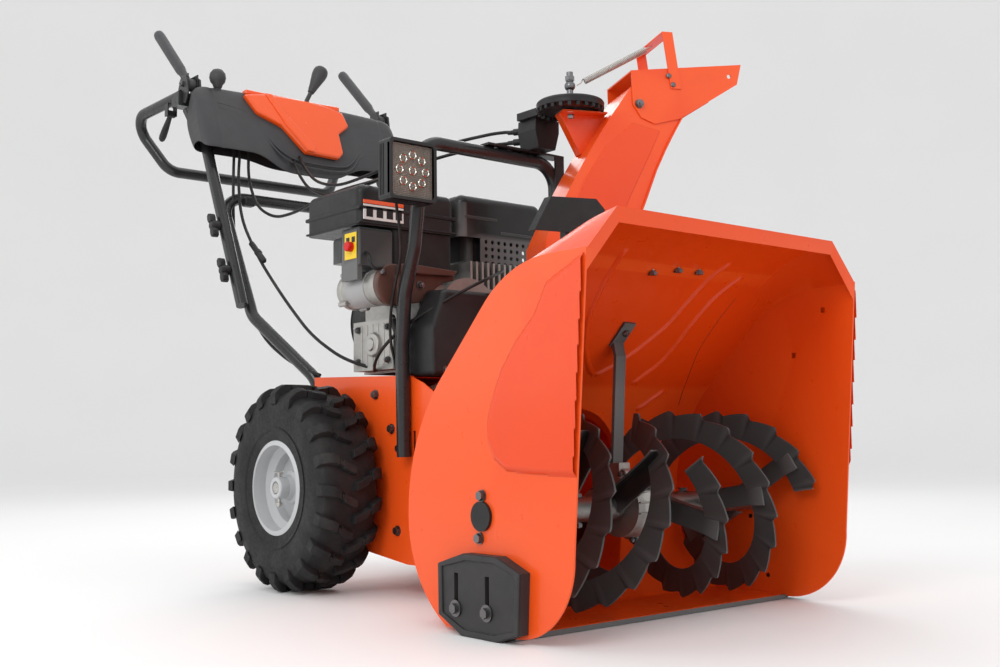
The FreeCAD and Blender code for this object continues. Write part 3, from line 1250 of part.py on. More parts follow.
def console():
    """Hollow moulded console, open below, with its slots for the controls."""
    half = d.console_half
    wall = d.console_wall
    deeper = [(y, z - (40 if z < 900 else 0)) for y, z in CONSOLE_SECTION]
    outer = prism_x(deeper, -half, half).common(prism_y(console_front(), 900, 1150))
    inner_section = [(y, z - (30 if z < 900 else 0)) for y, z in grown(deeper, -wall)]
    inner = prism_x(inner_section, -half + wall, half - wall)
    roof = Part.makeBox(2 * half, 200, 400, Vector(-half, 950, 1048))
    inner = inner.cut(roof)
    tubes = [swept_tube(route((side * d.upper_half, *UPPER_LOW), (side * d.upper_half, *UPPER_HIGH),
                              (side * d.lever_half, 1078, 1004)), d.handle_tube + 0.3, 60)
             for side in (1, -1)]
    speed_slot = Part.makeBox(76, 14, 60, Vector(SPEED_X - 38, 1030, 1020))
    joystick_hole = Part.makeCylinder(COLLAR_HOLE, 60, Vector(JOYSTICK.x, JOYSTICK.y, 1020))
    clamps = Part.makeBox(60, 60, 80, Vector(d.lever_half - 22, 1054, 1000))
    tools = [inner, speed_slot, joystick_hole, clamps, mirrored(clamps)] + tubes
    tilt_pin = Vector(JOYSTICK.x, JOYSTICK.y, JOYSTICK.z - COLLAR_DROP)
    ribs = [Part.makeBox(4, 80, 60, Vector(JOYSTICK.x + offset, 1000, 1000)) for offset in (-28, 24)]
    pins = [Part.makeCylinder(4, 56, tilt_pin - Vector(28, 0, 0), Vector(1, 0, 0)),
            Part.makeCylinder(4, 150, Vector(SPEED_X, 950, SPEED_PIVOT_Z), Vector(0, 1, 0))]
    supports = [item.common(outer) for item in ribs + pins]
    shaped("console", outer.cut(tools).fuse(supports))


SPEED_X = -201
SPEED_PIVOT_Z = 962
JOYSTICK = Vector(16, 1037, 1046)
COLLAR_HOLE = 19
COLLAR_DROP = 14


def console_insert():
    """Raised orange cover on the front of the console."""
    outline = [(-148, 1044), (-91, 1057), (14, 1060), (60, 1056), (110, 1043), (119, 1005), (85, 978),
               (85, 927), (72, 915), (-18, 915), (-67, 975), (-122, 998)]
    proud = [(1016, 1048), (987, 978), (958, 890), (972, 890), (999.2, 977), (1027.4, 1045.6), (1028, 1060),
             (1020, 1060)]
    slab = prism_x(proud, -160, 130)
    hole = Part.makeCylinder(COLLAR_HOLE, 80, Vector(JOYSTICK.x, JOYSTICK.y, 1020))
    shaped("console_insert", slab.common(prism_y(outline, 900, 1100)).cut(hole))


def speed_lever():
    pivot = Vector(SPEED_X, 1037, SPEED_PIVOT_Z)
    stem = bar(pivot, Vector(SPEED_X, 1037, 1064), 5)
    hub = Part.makeCylinder(10, 10, pivot - Vector(0, 5, 0), Vector(0, 1, 0))
    knob = Part.makeSphere(18, Vector(SPEED_X, 1037, 1078))
    bore = Part.makeCylinder(4 + d.fit, 40, pivot - Vector(0, 20, 0), Vector(0, 1, 0))
    shaped("speed_lever", stem.fuse([hub, knob]).cut(bore))


def joystick():
    """Ball collar in the console and the stick that leans in it."""
    lean = Vector(46, 0, 92).normalize()
    ball = Part.makeSphere(14, JOYSTICK)
    base = Part.makeBox(20, 22, 14, JOYSTICK - Vector(10, 11, 22))
    across = Part.makeCylinder(4 + d.fit, 60, JOYSTICK - Vector(0, 30, 0), Vector(0, 1, 0))
    tilt_bore = Part.makeCylinder(4 + d.fit, 60, JOYSTICK - Vector(30, 0, COLLAR_DROP), Vector(1, 0, 0))
    slot = Part.makeBox(60, 13, 40, JOYSTICK - Vector(30, 6.5, 9))
    shaped("joystick_collar", ball.fuse(base).cut([slot, across, tilt_bore]).removeSplitter())
    stem = bar(JOYSTICK, JOYSTICK + lean * 62, 5)
    eye = Part.makeCylinder(8, 12, JOYSTICK - Vector(0, 6, 0), Vector(0, 1, 0))
    grip = bar(JOYSTICK + lean * 48, JOYSTICK + lean * 96, 9, 17)
    top = Part.makeSphere(17, JOYSTICK + lean * 98)
    pin = Part.makeCylinder(4, 26, JOYSTICK - Vector(0, 13, 0), Vector(0, 1, 0))
    shaped("chute_joystick", stem.fuse([eye, grip, top, pin]).removeSplitter())


def clean_out_tool():
    """Plastic paddle held upright by its handle on the back of the housing's roof."""
    outline = [(-159, 598), (-123, 655), (-23, 663), (-3, 647), (-30, 604)]
    blade = prism_y(outline, 44, 47)
    rim = prism_y([(-159, 598), (-123, 655), (-23, 663), (-23, 660), (-122, 652), (-156, 598)], 44, 60)
    handle = prism_y([(-92, 500), (-92, 640), (-70, 640), (-70, 500)], 46, 58)
    roof = housing_solid(d.housing_half - d.sheet)
    shaped("clean_out_tool", blade.fuse([rim, handle]).cut(roof))


def fasteners():
    """All fixed bolts of the housing, the shoes and the tractor body, as separate solids."""
    shaped("fasteners", Part.makeCompound(housing_bolts() + frame_bolts()))


CABLE = 3.2


def control_cables():
    """Sheathed cables and wires, each held at both ends."""
    routes = [
        # drive cable, console to the rear of the body, straight down beside the handle
        route((-170, 1016, 930), (-174, 1012, 862), (-180, 1000, 760), (-184, 978, 660), (-182, 930, 560),
              (-176, 860, 480), (-160, 780, 430), (-140, 706, 404)),
        # auger cable with its adjuster, slanting forward to the front of the body
        route((-160, 1006, 930), (-172, 994, 850), (-188, 950, 750), (-190, 870, 655), (-186, 770, 560),
              (-182, 670, 478), (-168, 580, 428), (-140, 505, 404)),
        # chute rotation cables from the head back to the console
        route((96, 352, 858), (70, 400, 862), (20, 470, 850), (-30, 560, 830), (-60, 660, 806),
              (-70, 760, 800), (-60, 860, 830), (-40, 940, 880), (-20, 1006, 930)),
        route((96, 352, 838), (60, 410, 838), (0, 480, 822), (-50, 560, 800), (-76, 660, 780),
              (-84, 760, 776), (-74, 860, 810), (-56, 940, 865), (-36, 1006, 930)),
        # sagging lamp wire from the console to the clip on the handle, then to the lamp
        route((-140, 1006, 930), (-146, 998, 850), (-150, 950, 778), (-146, 880, 744), (-146, 800, 742),
              (-150, 700, 752), (-156, 600, 756), (-166, 500, 750), (-186, 420, 742), (-205, 370, 736),
              (-211, 343, 729)),
    ]
    shapes = [swept_tube(points, CABLE) for points in routes]
    for number, (points, shape) in enumerate(zip(routes, shapes), 1):
        path = bent_wire(points)
        tightest = min(edge.Curve.Radius for edge in path.Edges if hasattr(edge.Curve, "Radius"))
        plain = math.pi * CABLE ** 2 * path.Length / 1000
        print(f"cable {number}: tightest bend {tightest:.0f} mm, run {path.Length:.0f} mm, "
              f"section times run {plain:.2f} cm3, solid {shape.Volume / 1000:.2f} cm3")
    shaped("control_cables", Part.makeCompound(shapes))


# ---------------------------------------------------------------- build, check and write
housing_wrap()
side_plates()
impeller_housing()
scraper_bar()
auger_bearings()
skid_shoes()
augers()
auger_shaft()
shear_bolts()
gearbox()
gearbox_strut()
impeller()
impeller_shaft()
tractor_frame()
drive_train()
drive_belts()
belt_cover()
wheels()
engine_block()
engine_shaft()
fuel_tank()
fuel_cap()
muffler()
heater_box()
ignition_key()
recoil_housing()
electric_starter()
chute()
chute_hardware()
deflector()
deflector_spring()
rotator_head()
lamp_hoop()
lamp_housing()
lamp_lens()
lower_handle()
upper_handle()
wing_knobs()
loop_handle()
clutch_levers()
finger_triggers()
console()
console_insert()
speed_lever()
joystick()
clean_out_tool()
fasteners()
control_cables()
doc.recompute()

failed = [item.Name for item in doc.Objects if "Invalid" in item.State or "Error" in item.State]
if failed:
    raise RuntimeError(f"objects failed to build: {failed}")
for item in pieces:
    if item.Shape.isNull() or not item.Shape.isValid() or not item.Shape.Solids:
        raise RuntimeError(f"{item.Label} is not a valid solid")

os.makedirs("parts", exist_ok=True)
for item in pieces:
    item.Shape.exportStep(os.path.join("parts", item.Label + ".step"))
    box = item.Shape.BoundBox
    print(f"{item.Label:20s} solids {len(item.Shape.Solids):2d}  volume {item.Shape.Volume / 1000:9.1f} cm3  "
          f"x {box.XMin:7.1f} {box.XMax:7.1f}  y {box.YMin:7.1f} {box.YMax:7.1f}  z {box.ZMin:6.1f} {box.ZMax:6.1f}")
print(len(pieces), "sub-parts")
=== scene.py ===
"""Looks of the snow blower: materials for every CAD node and the detailed pieces built on them.

Places are given in millimetres on the machine's own axes (auger axis at y = 0, ground at z = 0)
and turned into metres of the frame by at().
"""

import json
import math

import bmesh
import bpy
from mathutils import Matrix, Vector
from mathutils.bvhtree import BVHTree


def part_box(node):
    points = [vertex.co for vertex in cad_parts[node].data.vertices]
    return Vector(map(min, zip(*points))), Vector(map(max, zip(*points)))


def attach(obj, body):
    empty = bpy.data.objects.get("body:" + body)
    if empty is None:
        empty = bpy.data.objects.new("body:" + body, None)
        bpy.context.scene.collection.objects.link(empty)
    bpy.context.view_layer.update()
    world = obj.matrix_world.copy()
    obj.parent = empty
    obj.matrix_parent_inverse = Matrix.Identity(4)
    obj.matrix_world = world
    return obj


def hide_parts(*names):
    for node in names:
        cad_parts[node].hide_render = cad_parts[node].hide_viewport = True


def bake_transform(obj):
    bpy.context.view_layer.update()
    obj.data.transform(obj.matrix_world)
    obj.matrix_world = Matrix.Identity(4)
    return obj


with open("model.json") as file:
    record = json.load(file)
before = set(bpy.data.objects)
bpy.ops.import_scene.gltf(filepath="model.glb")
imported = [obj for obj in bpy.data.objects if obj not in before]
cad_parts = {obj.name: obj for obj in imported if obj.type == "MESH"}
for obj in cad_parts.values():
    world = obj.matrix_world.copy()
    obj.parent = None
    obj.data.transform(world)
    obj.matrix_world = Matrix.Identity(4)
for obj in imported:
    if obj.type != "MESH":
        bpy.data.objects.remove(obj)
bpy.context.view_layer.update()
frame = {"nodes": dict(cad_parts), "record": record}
nodes = frame["nodes"]

AUGER_X, AUGER_Y = (sum(corner[i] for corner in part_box("auger_shaft")) / 2 for i in (0, 1))
AUGER_Z = 167
TAU = 2 * math.pi
UP = Vector((0, 0, 1))
SIDES = ((1, "left"), (-1, "right"))


def at(x, y, z):
    return Vector((x / 1000 + AUGER_X, y / 1000 + AUGER_Y, z / 1000))


# ------------------------------------------------------------------ materials
def shade(color, factor):
    return (*[min(1.0, part * factor) for part in color[:3]], 1.0)


class Surface:
    """A principled material whose colour, gloss and relief all come from layered noise, with an optional
    painted highlight on convex edges.
    """

    def __init__(self, name, color, roughness, metallic=0.0, coat=0.0, specular=0.5):
        self.material = bpy.data.materials.new(name)
        self.material.use_nodes = True
        self.tree = self.material.node_tree
        self.shader = self.tree.nodes["Principled BSDF"]
        self.color = color
        self.roughness = roughness
        self.shader.inputs["Metallic"].default_value = metallic
        self.shader.inputs["Coat Weight"].default_value = coat
        self.shader.inputs["Coat Roughness"].default_value = 0.12
        self.shader.inputs["Specular IOR Level"].default_value = specular
        self.place = self.tree.nodes.new("ShaderNodeTexCoord").outputs["Object"]
        self.height = None

    def node(self, kind, **values):
        made = self.tree.nodes.new(kind)
        for key, value in values.items():
            if hasattr(made, key):
                setattr(made, key, value)
            else:
                made.inputs[key.replace("_", " ")].default_value = value
        return made

    def link(self, output, target):
        self.tree.links.new(output, target)
        return target

    def stretched(self, scale):
        mapping = self.node("ShaderNodeMapping")
        mapping.inputs["Scale"].default_value = scale
        self.link(self.place, mapping.inputs["Vector"])
        return mapping.outputs["Vector"]

    def noise(self, scale, detail=4.0, place=None, roughness=0.55):
        made = self.node("ShaderNodeTexNoise", Scale=scale, Detail=detail, Roughness=roughness)
        self.link(place or self.place, made.inputs["Vector"])
        return made.outputs["Fac"]

    def cells(self, scale, feature="F1"):
        made = self.node("ShaderNodeTexVoronoi", feature=feature)
        made.inputs["Scale"].default_value = scale
        self.link(self.place, made.inputs["Vector"])
        return made.outputs["Distance"]

    def spread(self, source, low, high, start=0.3, end=0.7):
        made = self.node("ShaderNodeMapRange")
        for index, value in enumerate((start, end, low, high), start=1):
            made.inputs[index].default_value = value
        self.link(source, made.inputs[0])
        return made.outputs[0]

    def mix(self, factor, first, second):
        made = self.node("ShaderNodeMix", data_type="RGBA")
        self.link(factor, made.inputs[0])
        for socket, value in ((made.inputs[6], first), (made.inputs[7], second)):
            if isinstance(value, tuple):
                socket.default_value = value
            else:
                self.link(value, socket)
        return made.outputs[2]

    def relief(self, source, strength, distance):
        bump = self.node("ShaderNodeBump", Strength=strength, Distance=distance)
        self.link(source, bump.inputs["Height"])
        if self.height is not None:
            self.link(self.height, bump.inputs["Normal"])
        self.height = bump.outputs["Normal"]

    def build(self, patches=7, mottle=0.08, gloss_spread=0.08, edge_highlight=None, dust=0.0):
        color = self.mix(self.spread(self.noise(patches, 6), 0, 1), shade(self.color, 1 - mottle),
                         shade(self.color, 1 + mottle))
        # Convex edges (high pointiness) are mixed towards the given lighter colour: a painted edge highlight.
        if edge_highlight:
            pointed = self.node("ShaderNodeNewGeometry").outputs["Pointiness"]
            color = self.mix(self.spread(pointed, 0, 0.7, 0.53, 0.6), color, edge_highlight)
        if dust:
            settled = self.spread(self.noise(26, 8), 0, dust, 0.45, 0.75)
            color = self.mix(settled, color, (0.30, 0.28, 0.25, 1))
        self.link(color, self.shader.inputs["Base Color"])
        gloss = self.spread(self.noise(patches * 9, 5), self.roughness - gloss_spread,
                            self.roughness + gloss_spread)
        self.link(gloss, self.shader.inputs["Roughness"])
        if self.height is not None:
            self.link(self.height, self.shader.inputs["Normal"])
        return self.material


def paint(name, color, roughness, coat, peel, edge_highlight=None, dust=0.02, mottle=0.03, specular=0.3):
    """Powder coat: slight orange peel, faint handling marks, gloss from a clear coat, optional painted
    highlight on convex edges.
    """
    made = Surface(name, color, roughness, coat=coat, specular=specular)
    made.relief(made.noise(420, 2), peel, 0.0004)
    made.relief(made.noise(30, 2), peel * 0.5, 0.0015)
    return made.build(patches=5, mottle=mottle, gloss_spread=0.06, edge_highlight=edge_highlight, dust=dust)


def plastic(name, color, roughness, grain=1500, depth=0.35, mottle=0.08, specular=0.28):
    """Moulded plastic with a fine spark-eroded grain."""
    made = Surface(name, color, roughness, specular=specular)
    made.relief(made.cells(grain), depth, 0.0002)
    made.relief(made.noise(grain * 0.3, 3), depth * 0.6, 0.0003)
    return made.build(patches=9, mottle=mottle, gloss_spread=0.07, dust=0.03)


def metal(name, color, roughness, brush=(1, 1, 1), grain=600, depth=0.15, mottle=0.1):
    """Bare metal; brush stretches the grain along one axis."""
    made = Surface(name, color, roughness, metallic=1.0)
    made.relief(made.noise(grain, 6, made.stretched(brush)), depth, 0.0003)
    return made.build(patches=22, mottle=mottle, gloss_spread=0.1)


def cast(name, color):
    made = Surface(name, color, 0.48, metallic=0.85)
    made.relief(made.noise(900, 5), 0.5, 0.0005)
    made.relief(made.cells(340), 0.25, 0.0006)
    return made.build(patches=14, mottle=0.14, gloss_spread=0.12, dust=0.05)


def rubber(name, color, roughness):
    made = Surface(name, color, roughness, specular=0.2)
    made.relief(made.noise(700, 6), 0.3, 0.0006)
    made.relief(made.cells(160), 0.06, 0.0008)
    return made.build(patches=18, mottle=0.18, gloss_spread=0.1, dust=0.06)


def lamp_reflector(name):
    """Vacuum-metallised reflector seen through a ribbed clear cover."""
    made = Surface(name, (0.17, 0.15, 0.125), 0.34, metallic=0.35, coat=0.5)
    columns = made.node("ShaderNodeTexWave", wave_type="BANDS", bands_direction="X", Scale=105.0)
    rows = made.node("ShaderNodeTexWave", wave_type="BANDS", bands_direction="Z", Scale=105.0)
    for wave in (columns, rows):
        made.link(made.place, wave.inputs["Vector"])
        made.relief(wave.outputs["Fac"], 0.7, 0.0012)
    return made.build(patches=40, mottle=0.2, gloss_spread=0.08)


ORANGE = (0.74, 0.056, 0.0022)
BLACK = (0.014, 0.014, 0.015)
SURFACES = {
    # orange_paint: convex edges painted a lighter orange, a painted edge highlight.
    "orange_paint": paint("orange_paint", ORANGE, 0.33, 0.18, 0.04, edge_highlight=(0.84, 0.1, 0.012, 1), dust=0.0),
    "orange_plastic": paint("orange_plastic", (0.82, 0.085, 0.004), 0.22, 0.6, 0.02, dust=0.0),
    # black_steel: convex edges painted grey, a painted edge highlight.
    "black_steel": paint("black_steel", (0.011, 0.0115, 0.012), 0.36, 0.1, 0.1, edge_highlight=(0.16, 0.16, 0.16, 1),
                         mottle=0.12),
    "black_tube": paint("black_tube", (0.017, 0.0175, 0.019), 0.3, 0.25, 0.08, mottle=0.12),
    "black_plastic": plastic("black_plastic", BLACK, 0.42),
    "shoe_plastic": plastic("shoe_plastic", (0.03, 0.03, 0.031), 0.5, grain=1100, depth=0.5),
    "grey_plastic": plastic("grey_plastic", (0.045, 0.045, 0.048), 0.46, grain=1300, depth=0.4),
    "bare_steel": metal("bare_steel", (0.50, 0.48, 0.45), 0.32, brush=(1, 0.1, 1)),
    "zinc_bolts": metal("zinc_bolts", (0.17, 0.17, 0.175), 0.36, grain=900),
    "cast_aluminium": cast("cast_aluminium", (0.40, 0.39, 0.37)),
    "silver_rim": paint("silver_rim", (0.46, 0.47, 0.48), 0.34, 0.3, 0.06, mottle=0.05),
    "tyre": rubber("tyre", (0.016, 0.016, 0.017), 0.62),
    "rubber": rubber("rubber", (0.014, 0.014, 0.014), 0.55),
    "red_plastic": plastic("red_plastic", (0.55, 0.008, 0.008), 0.25, grain=600, depth=0.1),
    "lamp_black": paint("lamp_black", (0.013, 0.013, 0.014), 0.42, 0.1, 0.15, mottle=0.12),
    "lamp_glow": lamp_reflector("lamp_glow"),
    "cable_black": rubber("cable_black", (0.012, 0.012, 0.012), 0.4),
}
LABEL_WHITE = plastic("label_white", (0.72, 0.72, 0.70), 0.35, grain=700, depth=0.05, mottle=0.04)
LABEL_YELLOW = plastic("label_yellow", (0.75, 0.52, 0.02), 0.35, grain=700, depth=0.05, mottle=0.05)
LABEL_GREY = plastic("label_grey", (0.33, 0.33, 0.33), 0.4, grain=700, depth=0.08, mottle=0.08)
BRACKET_BROWN = paint("bracket_brown", (0.085, 0.04, 0.03), 0.4, 0.2, 0.1, mottle=0.1)
STEEL_PIPE = metal("steel_pipe", (0.26, 0.25, 0.24), 0.4, brush=(0.1, 1, 1))

for row in frame["record"]["subparts"]:
    for part in nodes[row["node"]].material_slots:
        part.material = SURFACES[row["material_slot"]]


# ------------------------------------------------------------------ mesh helpers
def new_object(name, data):
    made = bpy.data.objects.new(name, data)
    bpy.context.scene.collection.objects.link(made)
    return made


def angles(count):
    return [TAU * i / count for i in range(count)]


def spokes(angle):
    """Unit vectors outwards and along the rim, at an angle about the machine's x axis."""
    return (Vector((0, math.sin(angle), math.cos(angle))),
            Vector((0, math.cos(angle), -math.sin(angle))))


def piece(name, verts, faces, slot, body="machine", material=None, bevel=0.0, steps=3, subdivide=0, angle=35,
          hides=(), solid=0.0):
    """A mesh object that rides on a CAD body, the machine's by default, with a material slot's finish."""
    mesh = bpy.data.meshes.new(name)
    mesh.from_pydata([tuple(v) for v in verts], [], faces)
    work = bmesh.new()
    work.from_mesh(mesh)
    bmesh.ops.remove_doubles(work, verts=work.verts, dist=1e-6)
    bmesh.ops.recalc_face_normals(work, faces=work.faces)
    work.to_mesh(mesh)
    work.free()
    mesh.materials.append(material or SURFACES[slot])
    mesh.shade_smooth()
    mesh.set_sharp_from_angle(angle=math.radians(180 if subdivide else angle))
    made = new_object(name, mesh)
    if solid:
        modifier = made.modifiers.new("wall", "SOLIDIFY")
        modifier.thickness = solid / 1000
        modifier.offset = -1
    if bevel:
        modifier = made.modifiers.new("edge", "BEVEL")
        modifier.width = bevel / 1000
        modifier.segments = steps
        modifier.limit_method = "ANGLE"
        modifier.angle_limit = math.radians(28)
        modifier.harden_normals = not subdivide
    if subdivide:
        modifier = made.modifiers.new("smooth", "SUBSURF")
        modifier.levels = subdivide
        modifier.render_levels = subdivide
    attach(made, body)
    if hides:
        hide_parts(*hides)
    return made


def join(*parts):
    """Several (verts, faces) lists as one."""
    verts, faces = [], []
    for more_verts, more_faces in parts:
        start = len(verts)
        verts += more_verts
        faces += [tuple(start + i for i in face) for face in more_faces]
    return verts, faces


def flip(part):
    """The same mesh on the machine's other side."""
    verts, faces = part
    return [Vector((2 * AUGER_X - v.x, v.y, v.z)) for v in verts], faces


def strip(loops, closed=True, caps=False):
    """Skin between loops of equal length."""
    count = len(loops[0])
    verts = [v for loop in loops for v in loop]
    faces = []
    for row in range(len(loops) - 1):
        for i in range(count if closed else count - 1):
            j = (i + 1) % count
            faces.append((row * count + i, row * count + j, (row + 1) * count + j, (row + 1) * count + i))
    if caps:
        faces.append(tuple(range(count)))
        faces.append(tuple(range(len(verts) - count, len(verts))))
    return verts, faces


def turned(origin, axis, profile, sides=48):
    """Revolve (along, radius) pairs in millimetres about an axis through a metre point."""
    axis = Vector(axis).normalized()
    first = axis.orthogonal().normalized()
    second = axis.cross(first)
    loops = []
    for along, radius in profile:
        centre = origin + axis * along / 1000
        size = max(radius, 0.01) / 1000
        loops.append([centre + (first * math.cos(angle) + second * math.sin(angle)) * size
                      for angle in angles(sides)])
    return strip(loops, caps=True)


def prism(outline, low, high, axis):
    """Extrude an outline: (y, z) pairs along x, (x, z) pairs along y, or (x, y) pairs along z."""
    order = {"x": lambda p, w: at(w, p[0], p[1]), "y": lambda p, w: at(p[0], w, p[1]),
             "z": lambda p, w: at(p[0], p[1], w)}[axis]
    return strip([[order(p, low) for p in outline], [order(p, high) for p in outline]], caps=True)


def box(low, high):
    (x1, y1, z1), (x2, y2, z2) = low, high
    return prism([(x1, y1), (x2, y1), (x2, y2), (x1, y2)], z1, z2, "z")


def hexagon_bolt(place, axis, across, height, washer=0.0):
    """Chamfered hexagon head with an optional round washer and a small thread end."""
    axis = Vector(axis).normalized()
    base = 1.6 if washer else 0.0
    parts = []
    if washer:
        parts.append(turned(place, axis, [(0, washer), (base, washer), (base, across * 0.5)], 32))
    parts.append(turned(place, axis, [(base, across * 0.5), (base + height * 0.75, across * 0.5),
                                      (base + height, across * 0.4)], 6))
    parts.append(turned(place, axis, [(base + height, across * 0.24), (base + height + 1.5, across * 0.22),
                                      (base + height + 2, 0)], 20))
    return join(*parts)


def wire(name, points, radius, slot, body="machine", material=None):
    """A smooth round wire or cable through control points."""
    data = bpy.data.curves.new(name, "CURVE")
    data.dimensions = "3D"
    data.bevel_depth = radius / 1000
    data.bevel_resolution = 5
    data.resolution_u = 16
    data.use_fill_caps = True
    spline = data.splines.new("NURBS")
    spline.points.add(len(points) - 1)
    for target, point in zip(spline.points, points):
        target.co = (*point, 1)
    spline.order_u = 3
    spline.use_endpoint_u = True
    data.materials.append(material or SURFACES[slot])
    made = new_object(name, data)
    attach(made, body)
    return made


def blend_value(low, high, share):
    return low + (high - low) * share


def soft_step(value):
    value = max(0.0, min(1.0, value))
    return value * value * (3 - 2 * value)


# ------------------------------------------------------------------ camera, lights and floor
CAMERA_PLACE = (-1363.1, -1299.5, 279.1)
CAMERA_TURN = (-40.1, 5.0, -0.7)
LENS = 42.34
LIGHT_TARGET = Vector((0, -0.1, 0.5))


def stage():
    eye = at(*CAMERA_PLACE)
    yaw, pitch, roll = (math.radians(degrees) for degrees in CAMERA_TURN)
    ahead = Vector((-math.sin(yaw) * math.cos(pitch), math.cos(yaw) * math.cos(pitch), math.sin(pitch)))
    right = ahead.cross(UP).normalized()
    over = right.cross(ahead)
    right, over = (right * math.cos(roll) + over * math.sin(roll),
                   over * math.cos(roll) - right * math.sin(roll))
    turn = Matrix((right, over, -ahead)).transposed().to_4x4()
    data = bpy.data.cameras.new("camera")
    data.lens = LENS
    data.sensor_width = 36
    camera = new_object("camera", data)
    camera.matrix_world = Matrix.Translation(eye) @ turn
    bpy.context.scene.camera = camera

    lights = [("key", (-2.9, -1.5, 2.4), 1.5, 42), ("fill", (-2.6, 1.6, 1.3), 1.8, 10),
              ("front", (0.4, -3.2, 1.7), 1.5, 5), ("top", (0.1, 0.1, 3.2), 2.2, 14),
              ("rim", (2.0, 2.2, 2.3), 1.6, 20)]
    for name, place, size, power in lights:
        lamp = bpy.data.lights.new(name, "AREA")
        lamp.size = size
        lamp.energy = power
        made = new_object(name, lamp)
        made.location = place
        made.rotation_euler = (LIGHT_TARGET - Vector(place)).to_track_quat("-Z", "Y").to_euler()

    world = bpy.data.worlds.new("studio")
    world.use_nodes = True
    background = world.node_tree.nodes["Background"].inputs
    background["Color"].default_value = (1, 1, 1, 1)
    background["Strength"].default_value = 0.9
    bpy.context.scene.world = world
    bpy.context.scene.view_settings.view_transform = "Standard"

    ground = Surface("floor", (0.86, 0.86, 0.86), 0.6)
    ground.relief(ground.noise(60, 3), 0.02, 0.001)
    flat = [[Vector((r * math.cos(a), r * math.sin(a), 0)) for a in angles(144)] for r in (0.01, 2, 4, 7)]
    curve = [math.radians(degrees) for degrees in range(0, 91, 5)]
    profile = [(7 + 4 * math.sin(a), 4 - 4 * math.cos(a)) for a in curve] + [(11, 9)]
    behind = [math.radians(2.5 * step - 20) for step in range(57)]
    sweep = [[Vector((r * math.cos(a), r * math.sin(a), z)) for a in behind] for r, z in profile]
    verts, faces = join(strip(flat), strip(sweep, closed=False))
    mesh = bpy.data.meshes.new("floor")
    mesh.from_pydata([tuple(v) for v in verts], [], faces)
    mesh.shade_smooth()
    mesh.materials.append(ground.build(patches=1, mottle=0.01, gloss_spread=0.02))
    new_object("floor", mesh)


# ------------------------------------------------------------------ wheels
WHEEL_Y, WHEEL_Z = 629, 190
TYRE_X = 225.5
LUG_COUNT = 20


def tread_radius(across):
    """Top of the lugs: flat crown, rounded over the shoulder."""
    over = max(0.0, abs(across) - 40)
    return 190 - over * over * 0.034


def wheel_point(side, across, radius, angle):
    """A place on a wheel: millimetres across it and from its axle, and an angle about that axle."""
    return at(side * (TYRE_X + across), WHEEL_Y + radius * math.sin(angle),
              WHEEL_Z + radius * math.cos(angle))


def lug(side, stations, angle):
    """One moulded lug: stations are (across, shift along the tread, half width) in millimetres."""
    loops = []
    for across, shift, half in stations:
        top = tread_radius(across)
        middle = angle + shift / 180
        loops.append([wheel_point(side, across, top - 18, middle - (half + 2.5) / 180),
                      wheel_point(side, across, top, middle - half / 180),
                      wheel_point(side, across, top, middle + half / 180),
                      wheel_point(side, across, top - 18, middle + (half + 2.5) / 180)])
    return strip(loops, caps=True)


def tyres():
    carcass = [(-54, 81), (-58, 90), (-60, 104), (-62.6, 122), (-62.8, 140), (-60, 156), (-54, 168),
               (-44, 175), (-24, 178), (0, 179)]
    carcass += [(-across, radius) for across, radius in reversed(carcass[:-1])]
    bands = [(60.2, 104), (61.4, 105.5), (62.2, 108), (62.4, 111)]
    for side, word in SIDES:
        parts = []
        for profile in (carcass, bands, [(-across, radius) for across, radius in bands]):
            parts.append(strip([[wheel_point(side, across, radius, angle) for angle in angles(96)]
                                for across, radius in profile]))
        for angle in angles(LUG_COUNT):
            for mirror in (1, -1):
                turn = angle + (math.pi / LUG_COUNT if mirror < 0 else 0)
                outer = [(63.3, 0, 9.5), (60, 0, 9.5), (52, -1, 9), (42, -3, 8.5), (32, -7, 8)]
                inner = [(25, -13, 7.5), (12, -20, 7), (-1, -24, 6.5)]
                link = [(31, -9, 4), (24, -14, 4)]
                for stations in (outer, inner, link):
                    parts.append(lug(side, [(mirror * a, s, h) for a, s, h in stations], turn))
        piece(f"tyre_tread_{word}", *join(*parts), "tyre", "wheels", bevel=1.2, steps=2, angle=40,
              hides=[f"tyre_{word}"])
        rim_details(side, word)


def rim_details(side, word):
    """Hub sleeve with its collar, hub pin with its clip, and valve stem."""
    axis = Vector((side, 0, 0))
    hub = at(side * 262, WHEEL_Y, WHEEL_Z)
    sleeve = turned(hub, axis, [(0, 20), (18, 20), (20, 18.5), (20, 12), (14, 11)], 40)
    collar = turned(hub, axis, [(-16, 30), (-12, 30), (-8, 24), (0, 21)], 40)
    piece(f"hub_sleeve_{word}", *join(sleeve, collar), "silver_rim", "wheels")
    pin_foot = hub + axis * 0.012 + Vector((0, 0, -0.034))
    pin = turned(pin_foot, UP, [(0, 3.5), (4, 5.5), (7, 5.5), (8, 3), (62, 3), (63, 0)], 20)
    piece(f"hub_pin_{word}", *pin, "bare_steel", "wheels")
    top = hub + axis * 0.012 + Vector((0, 0, 0.026))
    clip = [top + Vector((0, y / 1000, z / 1000))
            for y, z in ((-16, 2), (-17, 5), (-12, 4), (0, 1), (12, 2), (19, 3))]
    wire(f"hub_clip_{word}", clip, 1.0, "bare_steel", "wheels")
    foot = wheel_point(side, -2, 58, math.radians(238 if side < 0 else 120))
    stem = turned(foot, axis, [(0, 7.5), (8, 6.5), (18, 4.4), (30, 4.2), (31, 5), (40, 5), (41.5, 3.5)], 24)
    piece(f"valve_{word}", *stem, "rubber", "wheels")


